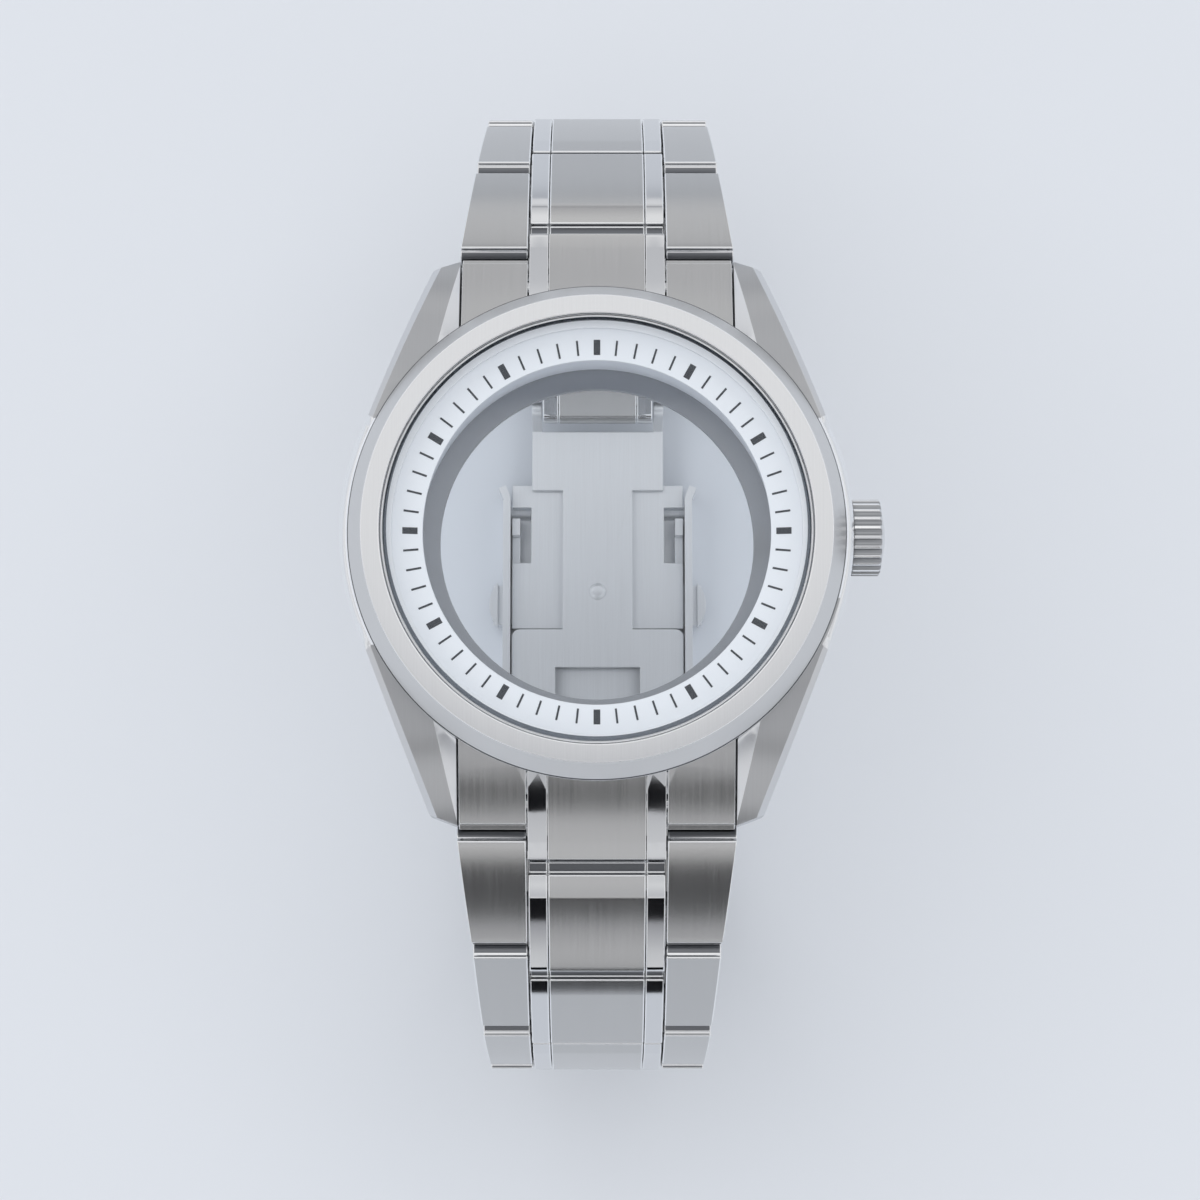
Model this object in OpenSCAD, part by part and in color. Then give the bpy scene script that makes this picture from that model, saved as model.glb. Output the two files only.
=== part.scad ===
// Empty wristwatch case with a three-piece-link bracelet and a folding clasp.
// Millimetres. X points to 3 o'clock, Y to 12 o'clock, Z up through the crystal.
// The origin is on the case axis, at the seat that the dial is pushed against.

/* [Case] */
// Radius of the round case middle
case_r = 20.2; // [20:0.1:20.8]
// Height of the case middle above the dial seat
case_top = 0.55; // [0.4:0.05:0.7]
// Depth of the case middle below the dial seat
case_depth = 7.4; // [7.2:0.1:8]
// Thickness of the case wall around the bore for the dial and the movement
case_wall = 5.9; // [5.7:0.1:6.2]
// Depth of that bore below the dial seat
bore_depth = 6.1; // [5.8:0.1:6.4]
// Space between the lugs, where the bracelet fits
lug_space = 22.1; // [21:0.1:22.4]
// Length of a lug past the side of the case
lug_len = 2.6; // [2:0.1:3]
// Width of a lug tip
lug_tip_w = 1.86; // [1.8:0.02:2.2]
// Distance that the top of a lug drops from its crest to its tip
lug_drop = 4.75; // [4:0.05:5]

/* [Bezel and crystal] */
// Height of the bezel above the dial seat
bezel_top = 2.9; // [2.6:0.1:3.2]
// Distance that the foot of the bezel stands in from the side of the case
bezel_inset = 0.6; // [0.4:0.05:0.8]
// Width of the slope of the bezel
bezel_slope_w = 1.22; // [1:0.02:1.4]
// Width of the flat top of the bezel
bezel_flat_w = 1.5; // [1.4:0.05:1.6]
// Space for the gasket between the bezel and the crystal
crystal_seam = 0.22; // [0.2:0.01:0.24]
// Thickness of the crystal
crystal_t = 1.6; // [1.4:0.1:1.7]
// Width of the chapter ring that covers the edge of the dial
chapter_lip = 0.63; // [0.5:0.01:0.8]

/* [Case back] */
// Distance that the window in the case back stands in from the bore
window_inset = 1.67; // [1.5:0.01:2]
// Height of the case back flange
flange_h = 1.5; // [1.3:0.05:1.7]
// Distance that the case back flange stands in from the side of the case
flange_inset = 1.8; // [1.6:0.05:2]
// Number of wrench notches
notch_count = 6; // [4:1:8]

/* [Crown] */
// Radius of the crown
crown_r = 3.05; // [2.8:0.05:3.2]
// Length of the fluted body of the crown
crown_len = 2.35; // [2.2:0.05:2.5]
// Height of the domed end of the crown
crown_dome = 0.44; // [0.3:0.02:0.5]
// Depth of the crown axis below the dial seat
crown_drop = 3.1; // [3:0.05:3.3]
// Number of flutes around the crown
flute_count = 24; // [18:1:28]

/* [Bracelet] */
// Number of links on each side
link_count = 7; // [7:1:7]
// Distance from one link hinge to the next
link_pitch = 10.8; // [10.4:0.1:11]
// The same distance on the half link beside the clasp, at 12 o'clock
short_pitch = 6.4; // [6.2:0.1:6.8]
// Turn from each link to the next in the closed loop
link_turn = 19.2; // [19:0.1:19.6]
// Slope of the loop at the first link hinge
start_slope = 28.2; // [27.5:0.1:29]
// Distance from the side of the case to the first link hinge
hinge_out = 3.9; // [3.8:0.05:4]
// Width of the bracelet at the clasp
width_clasp = 18; // [17.8:0.1:18.2]
// Height of a link above its hinge pins
link_above = 1.5; // [1.4:0.05:1.6]
// Width of the brushed centre piece of a link
centre_w = 7.8; // [7.4:0.1:8]
// Width of a polished strip beside the centre piece
strip_w = 1.53; // [1.4:0.01:1.6]
// Radius of the link pins
pin_r = 0.6; // [0.5:0.05:0.7]

/* [Clasp] */
// Width of the clasp beyond the bracelet, on both sides together
clasp_extra = 1; // [0.9:0.05:1.2]
// Thickness of the clasp walls
clasp_wall = 0.75; // [0.6:0.05:0.8]
// Thickness of the clasp floor
floor_t = 1; // [0.9:0.05:1.1]
// Thickness of the tongue blade and of its catch plate
blade_t = 0.7; // [0.6:0.05:0.75]
// Thickness of the middle blade
middle_t = 0.8; // [0.7:0.05:0.85]
// Width of the tongue
tongue_w = 7; // [6.6:0.1:7.4]
// Length of a push button along the clasp
button_len = 5.4; // [5:0.1:5.8]
// Travel of a push button
button_travel = 0.5; // [0.4:0.05:0.6]

/* [Hidden] */
$fn = 96;
// Overrun of every cut
over = 2;
// Gaps: seated metal, running pins, moving plates, links side by side
seat_gap = 0.02;
run_gap = 0.05;
plate_gap = 0.15;
side_gap = 0.12;
strip_gap = 0.05;

// Radii worked out from the case
bore_r = case_r - case_wall;
bezel_r = case_r - bezel_inset;
bezel_flat_r = bezel_r - bezel_slope_w;
bezel_in_r = bezel_flat_r - bezel_flat_w;
crystal_r = bezel_in_r - crystal_seam;
chapter_in_r = bore_r - chapter_lip;
window_r = bore_r - window_inset;
flange_r = case_r - flange_inset;

// Bezel collar, gasket and chapter ring
collar_ledge = 0.16;
collar_in_r = crystal_r - collar_ledge;
collar_wall = 0.6;
bezel_step = 1;
rim_bevel = 0.1;
gasket_foot_w = 0.4;
gasket_foot_in_r = collar_in_r - gasket_foot_w;
gasket_foot_t = 0.25;
gasket_top_drop = 0.45;
crystal_proud = 0.06;
crystal_bevel = 0.3;
chapter_edge = 0.4;
chapter_top = 0.95;
chapter_out_r = collar_in_r - run_gap;
crystal_top = bezel_top + crystal_proud;
crystal_low = crystal_top - crystal_t;
shoulder_drop = 0.45;
shoulder_run = 0.45;

// Minute marks
mark_count = 60;
mark_margin = 0.38;
mark_in_r = chapter_in_r + mark_margin;
mark_len = 1.2;
hour_mark_w = 0.52;
minute_mark_w = 0.16;
mark_t = 0.03;
mark_lift = 0.01;
chapter_slope = atan2(chapter_top - chapter_edge, chapter_out_r - chapter_in_r);

// Case back
thread_ledge = 2.3;
thread_r = bore_r + thread_ledge;
lip_t = 0.5;
glass_ledge = 1.27;
glass_seat_r = window_r + glass_ledge;
glass_gasket_t = 0.25;
glass_recess = 0.6;
flange_bevel = 0.5;
notch_w = 2.4;
notch_in = 1;
notch_h = 0.9;
ring_inset = 1;
ring_major_r = flange_r - ring_inset;
ring_minor_r = 0.27;
groove_half = 0.32;
groove_depth = 0.58;
back_z = -case_depth - flange_h;

// Lugs
lug_reach = case_r + lug_len;
lug_tip_x = lug_space / 2 + lug_tip_w;
tangent_angle = atan2(lug_reach, lug_tip_x) - acos(case_r / norm([lug_tip_x, lug_reach]));
lug_crest_len = 13.8;
lug_crest_y = lug_reach - lug_crest_len;
lug_crest_z = case_top - 0.1 * case_top;
lug_arc_r = (pow(lug_reach - lug_crest_y, 2) + pow(lug_drop, 2)) / (2 * lug_drop);
lug_bottom = 0.6;
lug_tip_rise = 0.35;
lug_bevel_w = 0.45;
lug_tip_short = lug_tip_w * tan(2 * tangent_angle) / 2;
facet_w = 1.7;
facet_len = 7.7;
facet_end_gap = 0.2;
facet_end_y = lug_reach - facet_end_gap;
facet_start_y = facet_end_y - facet_len;
facet_tilt = 33;
end_seat_in = 0.4;
end_seat_r = bezel_r - end_seat_in;
bar_out = 0.7;
bar_y = case_r + bar_out;
bar_z = -6;
bar_hole_r = 0.5;
bar_hole_depth = 1.3;
bar_tip_r = 0.42;
bar_tube_r = 0.75;
bar_tip_len = 1.1;
bar_shoulder = 0.25;

// Crown and tube
tube_r = 1.25;
tube_bore_r = 0.85;
sleeve_r = 2.2;
sleeve_end_gap = 0.25;
tube_in_x = bore_r + sleeve_end_gap;
crown_seat_in = 0.25;
crown_seat_x = case_r - crown_seat_in;
crown_seat_gap = 0.15;
crown_gap = 0.15;
crown_x = crown_seat_x + crown_gap;
crown_wall_end = 0.45;
crown_bore_r = 1.95;
post_r = 0.78;
post_len = 1.6;
stem_hole_r = 0.45;
tube_end_gap = 0.2;
tube_out_x = crown_x + crown_len - crown_wall_end - tube_end_gap;
o_ring_r = 0.33;
o_ring_x = crown_x + 0.2 * crown_len;
flute_r = 0.3;
flute_depth = 0.2;
crown_bevel = 0.15;
dome_r = 2.4;

// Links
knuckle_r = 1.35;
link_lip_gap = plate_gap;
plate_lead = 1.03;
plate_trail = 1.97;
lip_drop = 0.75;
lip_reach = 0.2;
lip_slant = 0.45;
centre_trail = 2.3;
centre_facet_w = 1.7;
centre_facet_tilt = 12;
link_bevel = 0.4;
crown_arc_r = 75;
end_crown_y = link_pitch / 2 - 0.1 * link_pitch;
pin_inset = 0.2;
cross_pin_share = 0.5;
taper_share = 0.5;
hinge_drop = 0.05;
first_hinge = [case_r + hinge_out, bar_z - hinge_drop];
width_gap = 0.1;
width_lug = lug_space - width_gap;
end_link_gap = 0.1;
end_link_side_gap = 0.15;
end_link_low = 7.7;
inner_half = centre_w / 2 + strip_gap + strip_w;
outer_in = inner_half + side_gap;

// Clasp levels, from the clasp pins
tongue_top = 0.9;
plate_skin = 0.05;
stack_gap = 0.25;
floor_gap = 0.4;
wall_rise = 1.6;
catch_top = tongue_top - blade_t - plate_skin;
catch_low = catch_top - blade_t;
middle_top = catch_low - stack_gap;
middle_low = middle_top - middle_t;
floor_top = middle_low - floor_gap;
floor_low = floor_top - floor_t;
clasp_w = width_clasp + clasp_extra;
wall_in = clasp_w / 2 - clasp_wall;
blade_half = wall_in - plate_gap;
// The clasp pins: on the last 6 o'clock link and, at 12 o'clock, on the half link
clasp_pin = hinge_at(link_count);
clasp_y = clasp_pin[0];
clasp_z = clasp_pin[1];
yoke_pin = hinge_at(link_count - 1)
    + short_pitch * [cos(slope_of(link_count)), -sin(slope_of(link_count))];
yoke_y = yoke_pin[0];
yoke_z = yoke_pin[1] - clasp_z;
// Clasp lengths along Y, inwards from the clasp pins
floor_start = 1.5;
wall_toe = 0.9;
cover_hinge_in = 5.88;
cover_hinge_y = clasp_y - cover_hinge_in;
cover_hinge_r = 0.8;
cover_hinge_z = floor_top + cover_hinge_r * 0.3125;
wall_end_len = 1;
wall_end_y = cover_hinge_y + wall_end_len;
flare_len = 1.3;
flare_tilt = 22;
blade_hinge_in = 4.48;
blade_hinge_y = blade_hinge_in - clasp_y;
blade_hinge_r = (tongue_top - middle_low) / 2;
blade_hinge_z = (tongue_top + middle_low) / 2;
hinge_pin_r = 0.5;
fold_knuckle = 4.1;
bar_low_y = -3.5;
bar_high_y = 0.3;
arm_in = 4.25;
middle_half = 6.4;
bar_round = 0.8;
catch_end_in = 3.48;
catch_end_y = clasp_y - catch_end_in;
catch_gap = 0.15;
window_len = 5.65;
window_high_in = 5.73;
window_high_y = clasp_y - window_high_in;
window_low_y = window_high_y - window_len;
window_in = 6.7;
cross_start_in = 4.08;
cross_start = clasp_y - cross_start_in;
cross_end_out = 1.92;
cross_end = clasp_y + cross_end_out;
ear_t = 1;
ear_r = 0.9;
ear_tilt = 30;
ear_root_in = 3.28;
ear_root = clasp_y - ear_root_in;
rivet_y = 4.1;
rivet_r = 0.5;
rivet_head_r = 0.86;
rivet_head_h = 0.3;
adjust_step = 2.6;
adjust_count = 3;
// Push buttons
button_y = 2.9;
button_proud = 1.4;
button_half_h = 1;
button_z = middle_top - middle_t / 2 + 0.1 * middle_t;
shank_half = 2;
shank_half_h = 0.45;
shank_gap = 0.1;
arm_out = wall_in - plate_gap;
arm_t = 0.8;
arm_low_y = 1.2;
arm_end_gap = 1;
arm_high_y = cover_hinge_y - arm_end_gap;
arm_low = floor_top + plate_gap;
arm_top = catch_low - plate_gap;
nose_len = 1.7;
nose_rise = 0.3;
nose_top = catch_top + nose_rise;

// Width of the bracelet at hinge k
function width_at(k) = width_clasp + (width_lug - width_clasp) * pow(taper_share, k);
// Slope of link k below the horizontal, link 0 being the end link
function slope_of(k) = start_slope + (k - 0.5) * link_turn;
// Hinge k as [y, z]
function hinge_at(k) = k == 0 ? first_hinge
    : hinge_at(k - 1) + link_pitch * [cos(slope_of(k)), -sin(slope_of(k))];

// The half link is the last one at 12 o'clock
function pitch_of(side, k) = side == 12 && k == link_count ? short_pitch : link_pitch;

LINKS = [for (i = [1:link_count]) i];

// A profile of (y, z) points, swept from x0 to x1
module along_x(x0, x1) {
    translate([x0, 0, 0])
        rotate([90, 0, 90])
            linear_extrude(x1 - x0)
                children();
}

// A ring with the given radii between two heights
module ring(r_out, r_in, z0, z1) {
    translate([0, 0, z0])
        difference() {
            cylinder(r = r_out, h = z1 - z0);
            translate([0, 0, -over])
                cylinder(r = r_in, h = z1 - z0 + 2 * over);
        }
}

// A bar along X, centred on the YZ plane
module cross_bar(r, length) {
    translate([-length / 2, 0, 0])
        rotate([0, 90, 0])
            cylinder(r = r, h = length);
}

// The same piece on the left and on the right
module both_sides() {
    children();
    mirror([1, 0, 0])
        children();
}

// Side 12 is as drawn, side 6 is its mirror image
module on_side(side) {
    if (side == 12)
        children();
    else
        mirror([0, 1, 0])
            children();
}

// The frame of link k: y along the link from its first hinge, z out of the loop
module at_link(k) {
    start = hinge_at(k - 1);
    translate([0, start[0], start[1]])
        rotate([-slope_of(k), 0, 0])
            children();
}

// Outline of the lugs at 12 and 3 o'clock, tangent to the case, cut square to that edge
module lug_plan() {
    start = case_r * [cos(tangent_angle), sin(tangent_angle)];
    polygon([[lug_space / 2, 0], [start[0], 0], [start[0], start[1]],
        [lug_tip_x + lug_tip_short * tan(tangent_angle), lug_reach - lug_tip_short],
        [lug_space / 2, lug_reach]]);
}

// Side view of a lug: a long arc above, a flat foot below
module lug_side() {
    intersection() {
        translate([lug_crest_y, lug_crest_z - lug_arc_r])
            circle(r = lug_arc_r);
        polygon([[0, lug_crest_z], [lug_reach + over, lug_crest_z],
            [lug_reach + over, -case_depth - lug_bottom + lug_tip_rise + over],
            [lug_reach - lug_tip_rise, -case_depth - lug_bottom],
            [bore_r + lug_bottom, -case_depth], [0, -case_depth]]);
    }
}

module lug() {
    start = case_r * [cos(tangent_angle), sin(tangent_angle)];
    edge_x = start[0] - (lug_crest_y - start[1]) * tan(tangent_angle);
    edge_arc_r = lug_arc_r / pow(cos(tangent_angle), 2);
    facet_angle = atan2(facet_w, facet_len);
    facet_x = lug_space / 2 + facet_w + (facet_start_y - lug_crest_y) * tan(facet_angle);
    facet_arc_r = lug_arc_r / pow(cos(facet_angle), 2);
    facet_change = case_r * tan(facet_tilt);
    difference() {
        intersection() {
            translate([0, 0, -case_depth - over])
                linear_extrude(case_depth + case_top + 2 * over)
                    lug_plan();
            along_x(0, case_r)
                lug_side();
            translate([edge_x, lug_crest_y, lug_crest_z - edge_arc_r])
                rotate([0, 90, tangent_angle])
                    translate([0, 0, -case_r])
                        cylinder(r1 = edge_arc_r - lug_bevel_w + case_r,
                            r2 = edge_arc_r - lug_bevel_w - over, h = case_r + over);
            translate([facet_x, lug_crest_y, lug_crest_z - facet_arc_r])
                rotate([0, 90, facet_angle])
                    translate([0, 0, -case_r])
                        cylinder(r1 = facet_arc_r - facet_change,
                            r2 = facet_arc_r + facet_change, h = 2 * case_r);
        }
        translate([lug_space / 2 - over, bar_y, bar_z])
            rotate([0, 90, 0])
                cylinder(r = bar_hole_r, h = over + bar_hole_depth);
    }
}

// The space that the end links fill, between the lugs and under the foot of the bezel
module end_seats() {
    difference() {
        translate([-lug_space / 2, -case_r - over, -case_depth - over])
            cube([lug_space, 2 * (case_r + over), case_depth + case_top + 2 * over]);
        translate([0, 0, -2 * case_depth])
            cylinder(r = end_seat_r, h = 4 * case_depth);
    }
}

module case_middle() {
    color("silver")
        difference() {
            union() {
                rotate_extrude()
                    polygon([[bore_r - over, -case_depth], [bezel_r, -case_depth],
                        [bezel_r, case_top], [bore_r - over, case_top]]);
                intersection() {
                    rotate_extrude()
                        polygon([[bore_r - over, -case_depth], [case_r, -case_depth],
                            [case_r, case_top - shoulder_drop],
                            [case_r - shoulder_run, case_top], [bore_r - over, case_top]]);
                    translate([-2 * case_r, -lug_crest_y, -2 * case_depth])
                        cube([4 * case_r, 2 * lug_crest_y, 4 * case_depth]);
                }
                for (turn = [0, 180])
                    rotate([0, 0, turn])
                        both_sides()
                            lug();
            }
            translate([0, 0, -case_depth - over])
                cylinder(r = bore_r, h = case_depth + case_top + 2 * over);
            cylinder(r = collar_in_r + collar_wall + seat_gap, h = case_top + over);
            translate([0, 0, -case_depth - over])
                cylinder(r = thread_r + run_gap, h = case_depth + over - bore_depth);
            ring(ring_major_r + groove_half, ring_major_r - groove_half,
                -case_depth - over, -case_depth + groove_depth);
            end_seats();
            translate([bore_r - over, 0, -crown_drop])
                rotate([0, 90, 0])
                    cylinder(r = sleeve_r + seat_gap, h = case_r);
            translate([crown_seat_x, 0, -crown_drop])
                rotate([0, 90, 0])
                    cylinder(r = crown_r + crown_seat_gap, h = case_r);
        }
}

module bezel() {
    foot = case_top + seat_gap;
    color("gainsboro")
        rotate_extrude()
            polygon([[collar_in_r, seat_gap], [collar_in_r + collar_wall, seat_gap],
                [collar_in_r + collar_wall, foot], [bezel_r, foot], [bezel_r, foot + rim_bevel],
                [bezel_flat_r, bezel_top], [bezel_in_r + rim_bevel, bezel_top],
                [bezel_in_r, bezel_top - rim_bevel], [bezel_in_r, bezel_step],
                [collar_in_r, bezel_step]]);
}

module crystal_gasket() {
    foot_top = crystal_low - seat_gap;
    foot_low = foot_top - gasket_foot_t;
    wall_in_r = crystal_r + seat_gap;
    wall_out_r = bezel_in_r - seat_gap;
    color("whitesmoke")
        rotate_extrude()
            polygon([[gasket_foot_in_r, foot_low], [wall_out_r, foot_low],
                [wall_out_r, bezel_top - gasket_top_drop], [wall_in_r, bezel_top - gasket_top_drop],
                [wall_in_r, foot_top], [gasket_foot_in_r, foot_top]]);
}

module crystal() {
    color("lightcyan", 0.3)
        rotate_extrude()
            polygon([[0, crystal_low], [crystal_r, crystal_low],
                [crystal_r, crystal_top - crystal_bevel],
                [crystal_r - crystal_bevel, crystal_top], [0, crystal_top]]);
}

module chapter_ring() {
    color("white")
        rotate_extrude()
            polygon([[chapter_in_r, 0], [chapter_out_r, 0], [chapter_out_r, chapter_top],
                [chapter_in_r, chapter_edge]]);
}

module minute_marks() {
    mark_z = chapter_edge + (mark_in_r - chapter_in_r) * tan(chapter_slope) + mark_lift;
    color("dimgray")
        for (i = [0:mark_count - 1]) {
            mark_w = i % 5 == 0 ? hour_mark_w : minute_mark_w;
            rotate([0, 0, i * 360 / mark_count])
                translate([mark_in_r, -mark_w / 2, mark_z])
                    rotate([0, -chapter_slope, 0])
                        cube([mark_len, mark_w, mark_t]);
        }
}

module caseback_ring() {
    color("silver")
        difference() {
            rotate_extrude()
                polygon([[window_r, -bore_depth - seat_gap], [thread_r, -bore_depth - seat_gap],
                    [thread_r, -case_depth - seat_gap], [flange_r, -case_depth - seat_gap],
                    [flange_r, back_z + flange_bevel], [flange_r - flange_bevel, back_z],
                    [glass_seat_r, back_z], [glass_seat_r, -bore_depth - lip_t],
                    [window_r, -bore_depth - lip_t]]);
            for (i = [0:notch_count - 1])
                rotate([0, 0, (i + 0.5) * 360 / notch_count])
                    translate([flange_r - notch_in, -notch_w / 2, back_z - over])
                        cube([notch_in + over, notch_w, notch_h + over]);
        }
}

module caseback_glass() {
    color("lightcyan", 0.3)
        translate([0, 0, back_z + glass_recess])
            cylinder(r = glass_seat_r - glass_gasket_t - seat_gap,
                h = flange_h + case_depth - glass_recess - bore_depth - lip_t - seat_gap);
}

module caseback_glass_gasket() {
    color("whitesmoke")
        ring(glass_seat_r - seat_gap, glass_seat_r - glass_gasket_t,
            back_z + glass_recess, -bore_depth - lip_t - seat_gap);
}

module caseback_gasket() {
    color("black")
        translate([0, 0, -case_depth + ring_minor_r])
            rotate_extrude()
                translate([ring_major_r, 0])
                    circle(r = ring_minor_r);
}

module crown_tube() {
    color("silver")
        translate([tube_in_x, 0, -crown_drop])
            rotate([0, 90, 0])
                difference() {
                    union() {
                        cylinder(r = sleeve_r, h = crown_seat_x - tube_in_x);
                        cylinder(r = tube_r, h = tube_out_x - tube_in_x);
                    }
                    translate([0, 0, -over])
                        cylinder(r = tube_bore_r, h = tube_out_x - tube_in_x + 2 * over);
                }
}

module crown_gasket() {
    color("black")
        translate([o_ring_x, 0, -crown_drop])
            rotate([0, 90, 0])
                rotate_extrude()
                    translate([(tube_r + crown_bore_r) / 2, 0])
                        circle(r = o_ring_r);
}

module crown() {
    dome_sphere_r = (pow(dome_r, 2) + pow(crown_dome, 2)) / (2 * crown_dome);
    color("silver")
        translate([crown_x, 0, -crown_drop])
            rotate([0, 90, 0]) {
                difference() {
                    union() {
                        rotate_extrude()
                            polygon([[0, 0], [crown_r - crown_bevel, 0], [crown_r, crown_bevel],
                                [crown_r, crown_len - crown_bevel],
                                [crown_r - crown_bevel, crown_len], [0, crown_len]]);
                        intersection() {
                            translate([0, 0, crown_len + crown_dome - dome_sphere_r])
                                sphere(r = dome_sphere_r);
                            translate([0, 0, crown_len - crown_bevel])
                                cylinder(r = dome_r, h = crown_dome + over);
                        }
                    }
                    translate([0, 0, -over])
                        cylinder(r = crown_bore_r, h = over + crown_len - crown_wall_end);
                    for (i = [0:flute_count - 1])
                        rotate([0, 0, i * 360 / flute_count])
                            translate([crown_r - flute_depth + flute_r, 0, -over])
                                cylinder(r = flute_r, h = crown_len + 2 * over);
                }
                translate([0, 0, crown_len - crown_wall_end - post_len])
                    difference() {
                        cylinder(r = post_r, h = post_len);
                        translate([0, 0, -over])
                            cylinder(r = stem_hole_r, h = over + post_len);
                    }
            }
}

// A sprung bar: a tube with a thinner tip at each end
module spring_bar(tube_len, tip_len) {
    cross_bar(bar_tube_r, tube_len);
    cross_bar(bar_tip_r, tube_len + 2 * tip_len);
}

module lug_spring_bars() {
    color("silver")
        for (side = [12, 6])
            on_side(side)
                translate([0, bar_y, bar_z])
                    spring_bar(lug_space - 2 * bar_shoulder, bar_tip_len + bar_shoulder);
}

// Rounds the flat top of a link's side view, highest at a distance y along it
module crowned(y) {
    intersection() {
        children();
        translate([y, link_above - crown_arc_r])
            circle(r = crown_arc_r, $fn = 4 * $fn);
    }
}

// The far end of a link's side view: a lip under the top, close to the next hinge
function lip(pitch, end_y) =
    let (lip_y = pitch - knuckle_r - link_lip_gap, lip_z = link_above - lip_drop)
        [[end_y, lip_z], [lip_y + lip_reach, lip_z], [lip_y, lip_z - lip_slant],
            [lip_y, -knuckle_r + link_bevel], [lip_y - link_bevel, -knuckle_r]];

// Side view of the outer pieces of a link: rounded at the start, cut short at the end
module outer_side(pitch) {
    end_y = pitch - plate_trail;
    circle(r = knuckle_r);
    crowned(pitch / 2)
        polygon(concat([[-plate_lead, 0], [-plate_lead, link_above], [end_y, link_above]],
            lip(pitch, end_y), [[0, -knuckle_r]]));
}

// The centre pieces are turned end for end, and a facet leads up to their tops
module centre_side(pitch) {
    end_y = pitch - centre_trail;
    translate([pitch, 0])
        mirror([1, 0]) {
            circle(r = knuckle_r);
            crowned(pitch / 2)
                polygon(concat([[-plate_lead, 0], [-plate_lead, link_above],
                    [end_y - centre_facet_w, link_above],
                    [end_y, link_above - centre_facet_w * tan(centre_facet_tilt)]],
                    lip(pitch, end_y), [[0, -knuckle_r]]));
        }
}

// Plan of one outer piece of link k, narrowing towards the clasp
module outer_plan(k) {
    slope = (width_at(k) - width_at(k - 1)) / 2 / link_pitch;
    low = -2 * knuckle_r;
    high = link_pitch + 2 * knuckle_r;
    half = width_at(k - 1) / 2;
    polygon([[outer_in, low], [half + slope * low, low], [half + slope * high, high],
        [outer_in, high]]);
}

module outer_links(side, k) {
    pitch = pitch_of(side, k);
    color("darkgray")
        on_side(side)
            at_link(k) {
                both_sides()
                    difference() {
                        intersection() {
                            along_x(0, width_lug)
                                outer_side(pitch);
                            translate([0, 0, -2 * knuckle_r])
                                linear_extrude(4 * knuckle_r)
                                    outer_plan(k);
                        }
                        cross_bar(pin_r + seat_gap, 2 * width_lug);
                        translate([0, cross_pin_share * pitch, 0])
                            cross_bar(pin_r + seat_gap, 2 * width_lug);
                    }
                cross_bar(pin_r, width_at(k - 1) - 2 * pin_inset);
            }
}

module centre_link(side, k) {
    pitch = pitch_of(side, k);
    color("lightgray")
        on_side(side)
            at_link(k) {
                difference() {
                    centre_row()
                        centre_side(pitch);
                    translate([0, pitch, 0])
                        cross_bar(pin_bore(k), 2 * width_lug);
                    translate([0, cross_pin_share * pitch, 0])
                        cross_bar(pin_r + seat_gap, 2 * width_lug);
                }
                translate([0, cross_pin_share * pitch, 0])
                    cross_bar(pin_r, (width_at(k - 1) + width_at(k)) / 2 - 2 * pin_inset);
            }
}

// The last link turns on the thicker bar of the clasp
function pin_bore(k) = (k == link_count ? bar_tube_r : pin_r) + run_gap;

// Centre piece and the two strips beside it, with thin gaps between them
module centre_row() {
    along_x(-centre_w / 2, centre_w / 2)
        children();
    both_sides()
        along_x(centre_w / 2 + strip_gap, inner_half)
            children();
}

// Side views of an end link, cut to the case afterwards: outer pieces, then the centre
module end_outer_side() {
    back = -link_pitch / 2;
    end_y = link_pitch - plate_trail;
    crowned(end_crown_y)
        polygon(concat([[back, link_above], [end_y, link_above]], lip(link_pitch, end_y),
            [[back, -knuckle_r]]));
}

module end_centre_side() {
    back = -link_pitch / 2;
    translate([link_pitch, 0])
        circle(r = knuckle_r);
    crowned(end_crown_y)
        polygon([[back, link_above], [link_pitch + plate_lead, link_above],
            [link_pitch + plate_lead, 0], [link_pitch, -knuckle_r], [back, -knuckle_r]]);
}

// The whole side view of an end link: a link's end on a heel behind the spring bar
module end_link_profile() {
    heel_end = bar_y + bar_tube_r + plate_lead;
    heel_top = bar_z + 2 * bar_tube_r;
    translate(first_hinge - link_pitch * [cos(slope_of(0)), -sin(slope_of(0))])
        rotate(-slope_of(0))
            children();
    polygon([[0, -end_link_low], [heel_end, -end_link_low], [heel_end, heel_top],
        [0, heel_top]]);
}

module end_link(side) {
    edge = lug_space / 2 - end_link_side_gap;
    color("darkgray")
        on_side(side)
            difference() {
                union() {
                    both_sides()
                        along_x(outer_in, edge)
                            end_link_profile()
                                end_outer_side();
                    centre_row()
                        end_link_profile()
                            end_centre_side();
                }
                translate([0, 0, -2 * case_depth])
                    cylinder(r = end_seat_r + end_link_gap, h = 4 * case_depth);
                translate([0, bar_y, bar_z])
                    cross_bar(bar_tube_r + run_gap, 2 * width_lug);
                translate([0, first_hinge[0], first_hinge[1]])
                    cross_bar(pin_r + run_gap, 2 * width_lug);
            }
}

// Places a clasp piece on the level of the clasp pins
module at_clasp() {
    translate([0, 0, clasp_z])
        children();
}

// A flat plate between two heights from a plan of (x, y) points
module plate(z0, z1) {
    translate([0, 0, z0])
        linear_extrude(z1 - z0)
            children();
}

module clasp_wall_side() {
    translate([-clasp_y, 0])
        circle(r = knuckle_r);
    polygon([[-clasp_y, -knuckle_r], [-clasp_y + wall_toe, floor_low], [wall_end_y, floor_low],
        [wall_end_y, wall_rise], [-clasp_y + wall_toe + 2 * knuckle_r, wall_rise],
        [-clasp_y, knuckle_r]]);
}

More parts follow.
